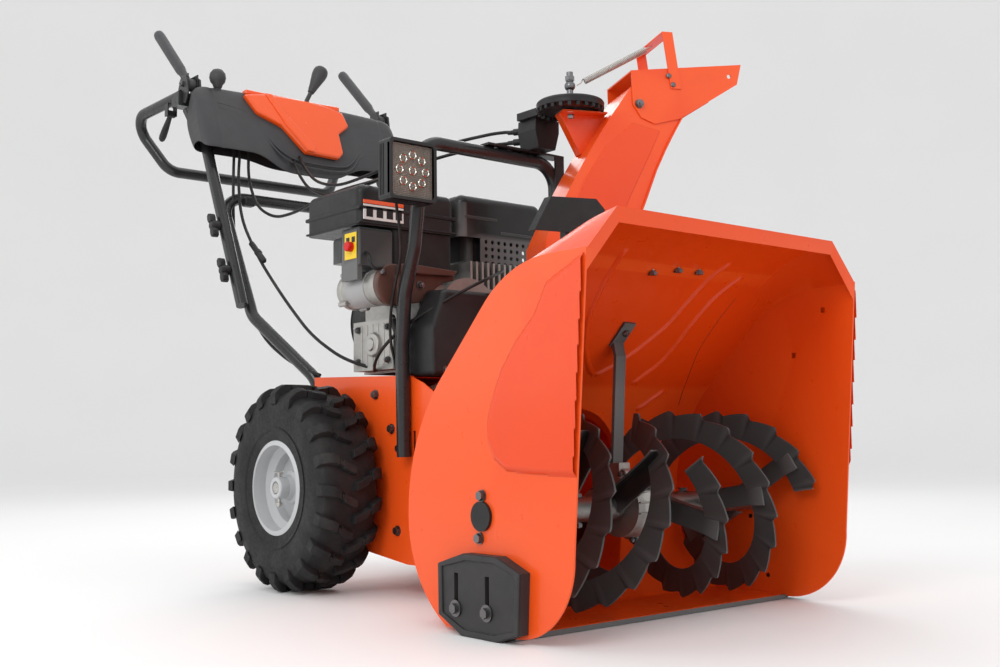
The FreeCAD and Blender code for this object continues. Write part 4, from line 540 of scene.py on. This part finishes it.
# ------------------------------------------------------------------ augers
RIBBON_START, RIBBON_END, RIBBON_PITCH = 22, 278, 240
RIBBON_OUTER, RIBBON_INNER = 151.5, 105
TEETH_PER_TURN, TOOTH_DEPTH, TOOTH_SLOPE = 18, 10, 0.86
PHASES = {"left": 122, "right": 168}
ARM_PLACES = (52, 158, 262)


def auger_point(x, radius, angle):
    return at(x, radius * math.sin(angle), AUGER_Z + radius * math.cos(angle))


def ribbon_angle(x, phase):
    return math.radians(phase - 360 * (x - RIBBON_START) / RIBBON_PITCH)


def ribbon(phase):
    """Helical ribbon with a stepped, saw-toothed outer edge."""
    steps = 240
    loops = []
    for i in range(steps + 1):
        x = blend_value(RIBBON_START, RIBBON_END, i / steps)
        angle = ribbon_angle(x, phase)
        tooth = (-angle / TAU * TEETH_PER_TURN) % 1.0
        rising = tooth < TOOTH_SLOPE
        low = 1 - tooth / TOOTH_SLOPE if rising else (tooth - TOOTH_SLOPE) / (1 - TOOTH_SLOPE)
        outer = RIBBON_OUTER - TOOTH_DEPTH * low
        loops.append([auger_point(x, RIBBON_INNER, angle), auger_point(x, outer, angle),
                      auger_point(x + 4, outer, angle), auger_point(x + 4, RIBBON_INNER, angle)])
    return strip(loops, caps=True)


def angle_arm(x, phase):
    """Folded arm from the tube to the ribbon, with a wider welded foot."""
    out, along = spokes(ribbon_angle(x, phase))
    centre = at(x, 0, AUGER_Z)
    loops = []
    for reach, half in ((14, 19), (40, 17), (104, 17), (134, 20)):
        foot = centre + out * reach / 1000
        loops.append([foot + along * w / 1000 + Vector((depth / 1000, 0, 0))
                      for w, depth in ((-half, -3), (half - 2, -3), (half, -1), (half, 14), (half - 3, 14),
                                       (half - 3, 1), (-half, 1))])
    return strip(loops, caps=True)


def augers():
    for side, word in SIDES:
        phases = (PHASES[word], PHASES[word] + 180)
        parts = [ribbon(phase) for phase in phases]
        parts += [angle_arm(x, phase) for x in ARM_PLACES for phase in phases]
        parts = [part if side > 0 else flip(part) for part in parts]
        piece(f"toothed_ribbons_{word}", *join(*parts), "black_steel", "auger", bevel=0.5, steps=1,
              hides=[f"auger_{word}"])
        tube = turned(at(side * 38, 0, AUGER_Z), (side, 0, 0),
                      [(0, 13.5), (0, 18), (1, 19), (255, 19), (256, 18), (256, 13.5)], 56)
        piece(f"auger_tube_{word}", *tube, "black_steel", "auger", material=STEEL_PIPE)


# ------------------------------------------------------------------ housing
PLATE_X = 305
PANEL_GRID, PANEL_HEIGHT, PANEL_FADE = 3.0, 6.5, 10
RELIEF = [(-219, 520), (-140, 487), (-115, 446), (-75, 411), (-45, 375), (-31, 350), (-20, 325), (-12, 302),
          (-12, 274), (-27, 246), (-54, 229), (-122, 225), (-190, 224), (-219, 224)]


def edge_distance(point, outline):
    """Distance from a (y, z) point to the outline's edges, all but the last one, or 0 outside."""
    inside = False
    nearest = 1e9
    count = len(outline)
    for i in range(count):
        (y1, z1), (y2, z2) = outline[i], outline[(i + 1) % count]
        if (z1 > point[1]) != (z2 > point[1]):
            if point[0] < (y2 - y1) * (point[1] - z1) / (z2 - z1) + y1:
                inside = not inside
        if i == count - 1:
            continue
        run = (y2 - y1) ** 2 + (z2 - z1) ** 2
        share = max(0, min(1, ((point[0] - y1) * (y2 - y1) + (point[1] - z1) * (z2 - z1)) / run))
        away_y = point[0] - y1 - share * (y2 - y1)
        away_z = point[1] - z1 - share * (z2 - z1)
        nearest = min(nearest, math.hypot(away_y, away_z))
    return nearest if inside else 0.0


def pressed_panel(side):
    """Raised area pressed into the front of the side plate, fading out into the flat sheet."""
    grid = {}
    verts, faces = [], []
    for row in range(102):
        for column in range(71):
            y, z = -217 + column * PANEL_GRID, 222 + row * PANEL_GRID
            front = -185 - 32 * min(1, max(0, (z - 120) / 380))
            height = PANEL_HEIGHT * soft_step(edge_distance((y, z), RELIEF) / PANEL_FADE)
            if height > 0.01 and y > front:
                grid[row, column] = len(verts)
                verts.append(at(side * (PLATE_X + 0.2 + height), y, z))
    for row, column in list(grid):
        corners = [(row, column), (row, column + 1), (row + 1, column + 1), (row + 1, column)]
        if all(corner in grid for corner in corners):
            faces.append(tuple(grid[corner] for corner in corners))
    return verts, faces


def housing_details():
    for side, word in SIDES:
        piece(f"pressed_panel_{word}", *pressed_panel(side), "orange_paint", angle=180)
        shoe_trim(side, word)
    back_ribs()


BEADS = [
    [(0, 80, 377), (20, 70, 387), (38, 57, 400), (56, 42, 415), (71, 25, 432), (91, -2, 459), (100, -30, 487),
     (106, -52, 508), (112, -85, 530), (120, -120, 541)],
    [(100, 92, 364), (118, 74, 383), (134, 56, 401), (143, 27, 430), (147, -5, 462), (155, -39, 494),
     (166, -62, 514), (182, -95, 531)],
    [(148, 128, 321), (172, 114, 340), (195, 99, 358)],
]
SEAM = [(254, 124, 327), (235, 87, 370), (217, 52, 405), (208, 27, 429), (205, -16, 472), (211, -56, 510)]


def wall_bead(wall, places, half, height, side):
    """Rounded ridge that follows the inside of the housing through some places, tapering at its ends."""
    places = [at(side * x, y, z) for x, y, z in places]
    places = [places[0]] + places + [places[-1]]
    track = []
    for i in range(1, len(places) - 2):
        for step in range(8):
            t = step / 8
            a, b, c, e = places[i - 1:i + 3]
            track.append(0.5 * (2 * b + (c - a) * t + (2 * a - 5 * b + 4 * c - e) * t * t
                                + (3 * b - a - 3 * c + e) * t ** 3))
    track.append(places[-2])
    loops = []
    for i, spot in enumerate(track):
        foot, normal, _, _ = wall.find_nearest(spot)
        ahead = (track[min(i + 1, len(track) - 1)] - track[max(i - 1, 0)]).normalized()
        across = ahead.cross(normal).normalized()
        taper = soft_step(min(i, len(track) - 1 - i) / 4 + 0.15)
        ring = []
        for k in range(-4, 5):
            lift = height * (math.cos(math.pi / 2 * k / 4) ** 1.3 if abs(k) < 4 else 0) * taper
            ring.append(foot + across * (half * k / 4000) + normal * ((lift - 0.2) / 1000))
        loops.append(ring)
    return strip(loops, closed=False)


def back_ribs():
    """Stamped beads and the seam that run down inside the housing's back."""
    wall = BVHTree.FromObject(nodes["housing_wrap"], bpy.context.evaluated_depsgraph_get())
    beads = [wall_bead(wall, places, 6.5, 3.4, side) for places in BEADS for side in (1, -1)]
    piece("back_beads", *join(*beads), "orange_paint", angle=180)
    seams = [wall_bead(wall, SEAM, 0.9, 0.5, side) for side in (1, -1)]
    piece("back_seams", *join(*seams), "rubber", angle=180)


def gearbox_details():
    """Split flange with its bolts and ribs, and the bolted tab of the stay."""
    parts = [turned(at(-3.5, 0, AUGER_Z), (1, 0, 0), [(0, 40), (0, 53), (7, 53), (7, 40)], 56)]
    bolts = []
    for degrees in (15, 75, 130, 190, 250, 310):
        angle = math.radians(degrees)
        spot = auger_point(-8, 52, angle)
        parts.append(turned(spot, (1, 0, 0), [(0, 7.5), (1, 8.5), (15, 8.5), (16, 7.5)], 24))
        bolts.append(hexagon_bolt(spot, (-1, 0, 0), 10, 5, 6.5))
    for degrees in (-100, -80, -60):
        out, across = spokes(math.radians(degrees))
        loops = []
        for x in (-33, 33):
            centre = at(x, 0, AUGER_Z)
            loops.append([centre + out * r / 1000 + across * w / 1000
                          for r, w in ((40, -2), (50.5, -1.3), (50.5, 1.3), (40, 2))])
        parts.append(strip(loops, caps=True))
    piece("gearbox_flange", *join(*parts), "cast_aluminium", bevel=0.8, steps=2)
    bolts.append(hexagon_bolt(at(0, 9, 444), (0, -0.7071, -0.7071), 12, 6, 8))
    piece("gearbox_bolts", *join(*bolts), "zinc_bolts")
    tab = prism([(33, 423.4), (-2, 458.4), (-4.4, 456), (30.6, 421)], -13, 13, "x")
    piece("stay_tab", *tab, "black_steel", bevel=0.8, steps=2)


SHOE_OUTLINE = [(-100, 96), (-95, 14), (-50, 0), (28, 0), (81, 25), (82, 98), (24, 115), (-51, 115)]


def inset(outline, amount):
    """Move a convex outline's corners towards its middle."""
    middle = (sum(p[0] for p in outline) / len(outline), sum(p[1] for p in outline) / len(outline))
    moved = []
    for y, z in outline:
        away = math.hypot(y - middle[0], z - middle[1])
        moved.append((y - (y - middle[0]) / away * amount, z - (z - middle[1]) / away * amount))
    return moved


def shoe_trim(side, word):
    """Raised border of the moulded skid shoe."""
    outer, inner = inset(SHOE_OUTLINE, 1), inset(SHOE_OUTLINE, 11)
    low, high = side * 320, side * 324.5
    rings = ((low, outer), (high, outer), (high, inner), (low, inner), (low, outer))
    loops = [[at(x, *p) for p in ring] for x, ring in rings]
    piece(f"shoe_border_{word}", *strip(loops), "shoe_plastic", f"shoe_{word}", bevel=1.6)


# ------------------------------------------------------------------ chute group
CHUTE_X, CHUTE_Y = 95, 225
AIM = math.radians(-24.6)


def on_chute(along, across, z):
    """Chute axes: along the outlet, across it to the operator, and up."""
    return at(CHUTE_X + along * math.cos(AIM) - across * math.sin(AIM),
              CHUTE_Y + along * math.sin(AIM) + across * math.cos(AIM), z)


def chute_prism(outline, low, high):
    """Extrude an (along, z) outline across the chute."""
    loops = [[on_chute(along, across, z) for along, z in outline] for across in (low, high)]
    return strip(loops, caps=True)


def chute_details():
    panel = [(-20, 640), (62, 640), (88, 700), (128, 780), (150, 826), (98, 838), (44, 790), (4, 730),
             (-20, 680)]
    flange = [(90, 625), (118, 690), (142, 752), (168, 806), (195, 852)]
    ends = ((-1, "near"), (1, "far"))
    for side, word in ends:
        piece(f"chute_panel_{word}", *chute_prism(panel, side * 58, side * 60.2), "orange_paint", "chute",
              bevel=1.6)
    for side, word in ends:
        loops = []
        for along, z in flange:
            loops.append([on_chute(along - 4, side * 58.5, z), on_chute(along - 4, side * 64, z),
                          on_chute(along - 1, side * 64, z), on_chute(along - 1, side * 58.5, z)])
        piece(f"chute_flange_{word}", *strip(loops, caps=True), "orange_paint", "chute",
              bevel=0.6, steps=2)
    normal = on_chute(0, 1, 0) - on_chute(0, 0, 0)
    rivets = []
    for along, z in ((168, 928), (176, 912)):
        for side in (-1, 1):
            rivets.append(turned(on_chute(along, side * 64.2, z), normal * side,
                                 [(0, 5), (1.2, 4.6), (2.4, 3), (2.8, 0)], 20))
    piece("strap_rivets", *join(*rivets), "zinc_bolts", "deflector")
    bolts = [hexagon_bolt(on_chute(110, side * 62.4, 873), normal * side, 13, 5, 8) for side in (-1, 1)]
    piece("hinge_bolts", *join(*bolts), "zinc_bolts", "chute")
    spring()


def spring():
    """Close-wound extension spring with a short straight lead at each end."""
    start, end = on_chute(14, 0, 919), on_chute(163, 0, 1003)
    axis = (end - start).normalized()
    first = axis.orthogonal().normalized()
    second = axis.cross(first)
    length = (end - start).length
    body_start, body_end = 0.016, length - 0.014
    turns, per_turn, coil_radius = 44, 10, 0.0052
    points = [start, start + axis * 0.008]
    for i in range(turns * per_turn + 1):
        angle = TAU * i / per_turn
        place = blend_value(body_start, body_end, i / (turns * per_turn))
        outwards = first * math.cos(angle) + second * math.sin(angle)
        points.append(start + axis * place + outwards * coil_radius)
    points += [end - axis * 0.007, end]
    data = bpy.data.curves.new("coil_path", "CURVE")
    data.dimensions = "3D"
    data.bevel_depth = 0.0012
    data.bevel_resolution = 2
    line = data.splines.new("POLY")
    line.points.add(len(points) - 1)
    for target, point in zip(line.points, points):
        target.co = (*point, 1)
    holder = new_object("coil_path", data)
    bpy.context.view_layer.update()
    mesh = bpy.data.meshes.new_from_object(holder.evaluated_get(bpy.context.evaluated_depsgraph_get()))
    bpy.data.objects.remove(holder)
    mesh.materials.clear()
    mesh.materials.append(SURFACES["bare_steel"])
    mesh.shade_smooth()
    coil = new_object("spring_coil", mesh)
    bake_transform(coil)
    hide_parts("deflector_spring")


def rotator_details():
    teeth = []
    for angle in angles(24):
        centre = at(CHUTE_X + 57 * math.cos(angle), CHUTE_Y + 57 * math.sin(angle), 868)
        out = Vector((math.cos(angle), math.sin(angle), 0))
        side = Vector((-math.sin(angle), math.cos(angle), 0))
        loops = [[centre + out * a / 1000 + side * b / 1000 + UP * h / 1000
                  for a, b in ((-4, -3), (4, -3), (4, 3), (-4, 3))] for h in (-3, 5)]
        teeth.append(strip(loops, caps=True))
    cap = turned(at(CHUTE_X, CHUTE_Y, 866), UP,
                 [(4, 20), (4, 54), (8, 61), (15, 62.4), (19, 60), (21.5, 52), (22.5, 30), (22.5, 14)], 72)
    piece("rotator_cap", *join(cap, *teeth), "black_plastic")
    ferrules = [turned(at(x, y, z), (-0.5, 0.85, 0), [(0, 4.5), (3, 6.5), (22, 6.5), (24, 4.5), (34, 4)], 24)
                for x, y, z in ((94, 350, 858), (94, 350, 838))]
    piece("cable_ferrules", *join(*ferrules), "black_plastic")


# ------------------------------------------------------------------ lamp
LAMP_X, LAMP_Z = -211, 729
LED_RING = 27


def lamp_details():
    half_wide, half_high, rim = 49, 52, 6
    fins = []
    for i in range(7):
        z = LAMP_Z - 42 + 14 * i
        fins += [box((LAMP_X + low, 322, z - 1.6), (LAMP_X + low + 32, 337, z + 1.6)) for low in (-40, 8)]
    piece("lamp_fins", *join(*fins), "lamp_black", "lamp", bevel=0.8)
    frame_outer = rounded(half_wide, half_high, 9)
    frame_inner = rounded(half_wide - rim, half_high - rim, 5)
    stations = ((frame_outer, 297), (frame_outer, 289.6), (frame_inner, 289.6), (frame_inner, 297))
    loops = [[at(LAMP_X + x, y, LAMP_Z + z) for x, z in ring] for ring, y in stations]
    piece("lamp_bezel", *strip(loops), "lamp_black", "lamp", bevel=1.2)
    cups = []
    leds = []
    places = [(LED_RING * math.cos(angle), LED_RING * math.sin(angle)) for angle in angles(8)]
    places.append((0, 0))
    for x, z in places:
        centre = at(LAMP_X + x, 295.4, LAMP_Z + z)
        cups.append(turned(centre, (0, -1, 0),
                           [(0, 7.6), (2.6, 7.4), (3.4, 6.6), (1.5, 4.8), (0.2, 2.4)], 28))
        leds.append(turned(centre, (0, -1, 0), [(0, 3.2), (1.6, 3.2), (3, 2.3), (3.6, 0)], 20))
    piece("lamp_cups", *join(*cups), "lamp_glow", "lamp",
          material=metal("lamp_cup_chrome", (0.72, 0.68, 0.6), 0.12, grain=80, depth=0.02))
    glass = Surface("led_dome", (0.85, 0.8, 0.7), 0.1, coat=1.0)
    piece("lamp_leds", *join(*leds), "lamp_glow", "lamp",
          material=glass.build(patches=60, mottle=0.1, gloss_spread=0.03))


def rounded(half_wide, half_high, radius, steps=6):
    """Corner-rounded rectangle about its own middle."""
    ring = []
    for corner, (sx, sz) in enumerate(((1, 1), (-1, 1), (-1, -1), (1, -1))):
        for i in range(steps + 1):
            angle = math.pi / 2 * (corner + i / steps)
            ring.append((sx * (half_wide - radius) + radius * math.cos(angle),
                         sz * (half_high - radius) + radius * math.sin(angle)))
    return ring


# ------------------------------------------------------------------ console and controls
CONSOLE_HALF = 262


def console_section(x):
    """(y, z) line from the lower front edge over the top to the lower rear edge."""
    share = abs(x) / CONSOLE_HALF
    drop = 36 * soft_step((0.52 - share) / 0.3)
    crown = 6 * (1 - share * share)
    tip = 10 * soft_step((share - 0.93) / 0.07)
    return [(972 + tip, 902 - drop), (985 + tip, 940), (999 + tip, 978), (1013 + tip * 0.6, 1012),
            (1026 + tip * 0.4, 1040 - tip + crown), (1034, 1048 - tip + crown), (1044, 1050 - tip + crown),
            (1056 - tip * 0.3, 1030 - tip), (1068 - tip * 0.6, 1000), (1080 - tip, 971), (1060 - tip, 930),
            (1038 - tip, 900 - drop * 0.4)]


def console_shell():
    right = [40, 70, 100, 130, 160, 190, 216, 219, 222, 238, 252, 260, CONSOLE_HALF]
    stations = [-x for x in reversed(right)] + [0] + right
    loops = []
    for x in stations:
        section = console_section(x)
        if abs(x) == 219:
            section = [(y + (1.6 if y < 1040 else -1.6), z - 1.2) for y, z in section]
        if abs(x) >= 260:
            middle = (1028, 975)
            pull = 0.06 if abs(x) == 260 else 0.16
            section = [(blend_value(y, middle[0], pull), blend_value(z, middle[1], pull)) for y, z in section]
        loops.append([at(x, y, z) for y, z in section])
    verts, faces = strip(loops, closed=False)
    count = len(loops[0])
    faces.append(tuple(range(count)))
    faces.append(tuple(range(len(verts) - count, len(verts))))
    piece("console_shell", verts, faces, "grey_plastic", subdivide=2, solid=3, hides=["console"])
    recess = [(-212, 1012), (-150, 1008), (-118, 984), (-96, 936), (-60, 906), (-20, 898), (80, 898),
              (112, 914), (146, 960), (212, 964)]
    for offset, name in ((0, "console_crease_upper"), (-12, "console_crease_lower")):
        route = [at(x, 971.5 + (z + offset - 900) * 0.385, z + offset) for x, z in recess]
        wire(name, route, 2.2, "grey_plastic")


def front_plane(x, z, proud):
    """A place in front of the console's sloping front."""
    return at(x, 971 + (z - 900) * 0.392 - proud * 0.93, z + proud * 0.36)


def console_cover():
    """Glossy orange cover with a raised band, on the front of the console."""
    outline = [(-148, 1040), (-91, 1051), (14, 1053), (60, 1050), (108, 1040), (118, 1005), (85, 980),
               (85, 930), (70, 916), (-16, 918), (-64, 975), (-122, 998)]
    loops = [[front_plane(x, z, proud) for x, z in outline] for proud in (-3, 13)]
    piece("console_cover", *strip(loops, caps=True), "orange_plastic", bevel=6, steps=5,
          hides=["console_insert"])
    band = [(-96, 1050), (-78, 1051), (-34, 985), (10, 930), (4, 918), (-14, 919), (-56, 975)]
    loops = [[front_plane(x, z, proud) for x, z in band] for proud in (9, 17)]
    piece("console_cover_band", *strip(loops, caps=True), "orange_plastic", bevel=4, steps=4)
    top = [(-140, 1022), (-88, 1024), (60, 1024), (104, 1020), (104, 1044), (60, 1047), (-88, 1047),
           (-140, 1042)]
    piece("console_cover_top", *prism(top, 1046, 1058, "z"), "orange_plastic", bevel=4, steps=4)


def stick(name, body, foot, axis, profile, slot="grey_plastic", hides=()):
    piece(name, *turned(foot, axis, profile, 40), slot, body, angle=50, hides=hides)


def controls():
    joystick = at(16, 1037, 1046)
    lean = Vector((46, 0, 92)).normalized()
    stick("joystick_grip", "joystick", joystick, lean,
          [(0, 5), (42, 5), (43, 7.5), (50, 8.5), (52, 9.5), (60, 10.5), (76, 14), (90, 17), (100, 17.8),
           (108, 16.5), (113, 12.5), (115.3, 6), (115.6, 0)], hides=["chute_joystick"])
    boot = turned(at(16, 1037, 1044), UP, [(0, 21), (4, 21), (6, 18), (9, 17), (11, 13), (14, 11)], 32)
    piece("joystick_boot", *boot, "rubber")
    knob = at(-201, 1037, 962)
    stick("speed_knob", "speed_lever", knob, UP,
          [(0, 5), (88, 5), (90, 9), (97, 11), (103, 16), (112, 18.4), (122, 17), (130, 11), (134, 0)],
          hides=["speed_lever"])
    for side, word in SIDES:
        clutch_lever(side, word)
        finger_trigger(side, word)
        wing_knobs(side, word)


LEVER_X = 250
CHEEK = [(1046, 1034), (1052, 1068), (1066, 1076), (1086, 1070), (1096, 1046), (1092, 1022), (1060, 1012)]


def clutch_lever(side, word):
    pivot = at(side * LEVER_X, 1070, 1057)
    tip = at(side * LEVER_X, 1243, 1221)
    axis = (tip - pivot).normalized()
    length = (tip - pivot).length * 1000
    hub = turned(pivot - Vector((0.009, 0, 0)), (1, 0, 0),
                 [(0, 4.2), (0, 13), (1, 14), (17, 14), (18, 13), (18, 4.2)], 36)
    arm = turned(pivot, axis, [(8, 9), (30, 8.5), (54, 9.5), (62, 11.4), (70, 12), (length - 16, 12.6),
                               (length - 6, 11.4), (length - 1.6, 7.5), (length, 0)], 40)
    piece(f"lever_grip_{word}", *join(hub, arm), "grey_plastic", f"lever_{word}", angle=50,
          hides=[f"lever_{word}"])
    cheeks = [prism(CHEEK, side * LEVER_X + low, side * LEVER_X + low + 4, "x") for low in (-17, 13)]
    piece(f"lever_cheeks_{word}", *join(*cheeks), "black_steel", bevel=1.2)
    bolt = hexagon_bolt(at(side * 267, 1070, 1057), (side, 0, 0), 12, 5, 7)
    piece(f"lever_bolt_{word}", *bolt, "zinc_bolts")


def finger_trigger(side, word):
    pivot = at(side * 268, 1128, 1002)
    axis = Vector((0, 44, -46)).normalized()
    hub = turned(pivot - Vector((0.007, 0, 0)), (1, 0, 0), [(0, 3.2), (0, 8), (14, 8), (14, 3.2)], 28)
    blade = turned(pivot, axis, [(5, 5), (20, 6), (40, 7.4), (58, 8), (66, 7), (70.5, 4), (71.5, 0)], 28)
    piece(f"trigger_blade_{word}", *join(hub, blade), "black_plastic", f"trigger_{word}", angle=50,
          hides=[f"trigger_{word}"])


def wing_knobs(side, word):
    """Two-winged knob with a hub, turned a little on its bolt."""
    parts = []
    for z in (627, 727):
        y = 868 + 164 * (z - 552) / 354
        centre = at(side * 238.5, y, z)
        axis = Vector((side, 0, 0))
        parts.append(turned(centre, axis, [(0, 9), (2, 11), (12, 11), (16, 10), (20, 8), (20.5, 0)], 32))
        up, wide = spokes(math.radians(-25 * side))
        wing = [(-6, 8), (-9, 17), (-8, 24), (-2, 28), (6, 26), (9, 17), (6, 8)]
        for turn in (1, -1):
            loops = []
            for out, size in ((7, 0.8), (10, 1), (18, 1), (21, 0.8)):
                middle = centre + axis * out / 1000
                loops.append([middle + (wide * a * size + up * b) * turn / 1000 for a, b in wing])
            parts.append(strip(loops, caps=True))
    hides = ["wing_knobs"] if side > 0 else []
    piece(f"clamp_knobs_{word}", *join(*parts), "black_plastic", bevel=1.5, hides=hides)


# ------------------------------------------------------------------ engine
def engine_details():
    tank_band = box((-213.6, 453, 690), (7.6, 641, 697))
    seam = box((-213.2, 453.4, 664), (7.2, 640, 668))
    piece("tank_seams", *join(tank_band, seam), "black_plastic", bevel=2)
    piece("tank_label", *box((-204, 453.6, 672), (-116, 455.4, 700)), "black_plastic",
          material=LABEL_WHITE, bevel=0.4)
    piece("tank_label_strip", *box((-204, 453.2, 701), (-116, 455.4, 708)), "orange_plastic", bevel=0.4)
    squares = [box((x, 453, 677), (x + 14, 454, 695)) for x in (-198, -176, -154, -134)]
    piece("tank_label_marks", *join(*squares), "black_plastic")
    piece("key_label", *box((-217.2, 458, 600), (-215.8, 496, 648)), "black_plastic",
          material=LABEL_YELLOW, bevel=0.4)
    marks = [box((-217.8, y, 630), (-216.8, y + 10, 640)) for y in (462, 480)]
    piece("key_label_marks", *join(*marks), "black_plastic")
    starter_details()
    crankcase_details()
    recoil_details()
    muffler_details()
    belt_cover_shell()


STARTER_FACE = 410


def starter_details():
    start = at(-170, 420, 550)
    axis = Vector((0, 1, 0))
    body = turned(start, axis,
                  [(-2, 20), (-2, 33), (2, 35.4), (16, 35.4), (18, 33), (28, 32.6), (30, 32.6), (112, 32.6),
                   (114, 34), (124, 34), (128, 31), (138, 24), (143, 14), (144, 0)], 56)
    lugs = [turned(start + Vector((0.036 * math.cos(a), 0.1, 0.036 * math.sin(a))), axis,
                   [(0, 5), (24, 5), (26, 3.6)], 16) for a in (0.6, 2.2, 3.9, 5.3)]
    piece("starter_body", *join(body, *lugs), "cast_aluminium", bevel=0.8)
    wrap = turned(start, axis, [(38, 32.9), (38, 33.4), (98, 33.4), (98, 32.9)], 56)
    piece("starter_label", *wrap, "cast_aluminium", material=LABEL_GREY)
    arm = prism([(-168, 514), (-120, 520), (-66, 560), (-40, 566), (-40, 580), (-90, 584), (-165, 586)],
                STARTER_FACE - 9, STARTER_FACE, "y")
    rib = prism([(-160, 570), (-52, 572), (-40, 582), (-160, 588)], STARTER_FACE - 22, STARTER_FACE - 8, "y")
    flange = turned(start + Vector((0, -0.014, 0)), axis, [(0, 30), (0, 36), (3, 38), (14, 38)], 48)
    piece("starter_bracket", *join(arm, rib, flange), "cast_aluminium", material=BRACKET_BROWN, bevel=2)
    bolts = [hexagon_bolt(at(-118, STARTER_FACE - 9, 552), (0, -1, 0), 13, 6, 8),
             hexagon_bolt(at(-196, 406, 570), (0, -1, 0), 11, 5)]
    piece("starter_bolts", *join(*bolts), "zinc_bolts")
    wire("starter_lead", [at(-200, 452, 610), at(-206, 436, 606), at(-214, 420, 590), at(-212, 412, 576),
                          at(-196, 410, 578), at(-176, 416, 584), at(-160, 430, 586)], 3.4, "cable_black")


def crankcase_details():
    bolts = [hexagon_bolt(at(x, 420, z), (0, -1, 0), 11, 6, 7)
             for x, z in ((-96, 420), (-96, 470), (-60, 414), (60, 414), (86, 450), (86, 530), (-96, 540))]
    bolts += [hexagon_bolt(at(-150, y, z), (-1, 0, 0), 11, 6, 7) for y in (455, 552) for z in (420, 480)]
    piece("crankcase_bolts", *join(*bolts), "zinc_bolts")
    ribs = [box((-151.5, 450 + 18 * i, 412), (-148, 455 + 18 * i, 488)) for i in range(6)]
    boss = turned(at(-150, 500, 450), (-1, 0, 0),
                  [(-4, 24), (6, 22), (8, 20), (8, 12), (12, 11), (12, 0)], 40)
    filler = turned(at(-128, 446, 496), (-0.3, -0.2, 1), [(-10, 8), (20, 8), (22, 13), (34, 13), (36, 10)],
                    28)
    piece("crankcase_castings", *join(boss, *ribs), "cast_aluminium", bevel=1.5)
    piece("oil_filler", *filler, "black_plastic")
    hose = [at(-130, 470, 500), at(-150, 440, 492), at(-158, 424, 470), at(-140, 412, 440),
            at(-118, 410, 418)]
    wire("breather_hose", hose, 5, "rubber")


def recoil_details():
    ring = turned(at(0, 640, 505), (0, 1, 0), [(20, 98), (23.5, 97), (24.5, 90), (25, 60), (27, 50)], 72)
    vents = []
    for angle in angles(24):
        out = Vector((math.cos(angle), 0, math.sin(angle)))
        across = Vector((-math.sin(angle), 0, math.cos(angle)))
        base = at(0, 662, 505)
        loops = [[base + out * r / 1000 + across * w / 1000 + Vector((0, h / 1000, 0))
                  for r, w in ((58, -2.6), (88, -3.6), (88, 3.6), (58, 2.6))] for h in (-1, 4.5)]
        vents.append(strip(loops, caps=True))
    piece("recoil_grille", *join(ring, *vents), "black_plastic", bevel=0.8)
    label = []
    for i in range(9):
        angle = math.radians(186 + 7 * i)
        label.append([at(105.8 * math.cos(angle), y, 505 + 105.8 * math.sin(angle)) for y in (606, 640)])
    piece("recoil_label", *strip(label, closed=False), "black_plastic", material=LABEL_WHITE)


def muffler_details():
    ridge = box((30, 454, 700), (110, 457, 706))
    flute = box((120, 453.4, 676), (222, 456, 681))
    lid = turned(at(125, 532, 746), UP, [(0, 58), (3, 54), (4, 30), (4, 0)], 6)
    piece("muffler_creases", *join(ridge, flute), "black_steel", bevel=1.5)
    piece("muffler_lid", *lid, "black_steel", bevel=2)


def belt_cover_shell():
    """Soft-edged moulded cover, its front leaning back at the top."""
    low = [(-146, 386), (-146, 470), (-106, 541), (106, 541), (146, 470), (146, 386)]
    front = [at(x, 324 + 22 * soft_step((z - 470) / 76), z) for x, z in low]
    back = [at(x, 402, z + (3 if z > 500 else 0)) for x, z in low]
    piece("belt_cover_shell", *strip([front, back], caps=True), "black_plastic", bevel=9, steps=5,
          hides=["belt_cover"])
    screws = [hexagon_bolt(at(x, 325, 396), (0, -1, 0), 9, 4, 7) for x in (-120, 120)]
    piece("belt_cover_screws", *join(*screws), "zinc_bolts")


# ------------------------------------------------------------------ small parts along the cables
def cable_details():
    sleeve = turned(at(-187, 905, 690), Vector((0, -0.78, -0.62)),
                    [(0, 4), (2, 6), (34, 6.4), (36, 7.6), (44, 7.6), (46, 6), (70, 6), (74, 4)], 24)
    piece("cable_adjuster", *sleeve, "black_plastic")
    piece("cable_clip", *box((-158, 984, 786), (-134, 1006, 806)), "black_plastic", bevel=4)
    wire("lamp_lead", [at(-211, 343, 715), at(-206, 352, 690), at(-196, 352, 640), at(-184, 366, 590),
                       at(-182, 392, 540), at(-183, 404, 480), at(-176, 408, 430), at(-160, 414, 404)], 2.6,
         "cable_black")
    wire("front_lead", [at(-150, 500, 402), at(-172, 470, 412), at(-180, 430, 440), at(-150, 400, 480),
                        at(-110, 330, 520), at(-60, 318, 548), at(0, 330, 572), at(60, 380, 590)], 3,
         "cable_black")


stage()
tyres()
augers()
housing_details()
gearbox_details()
chute_details()
rotator_details()
lamp_details()
console_shell()
console_cover()
controls()
engine_details()
cable_details()
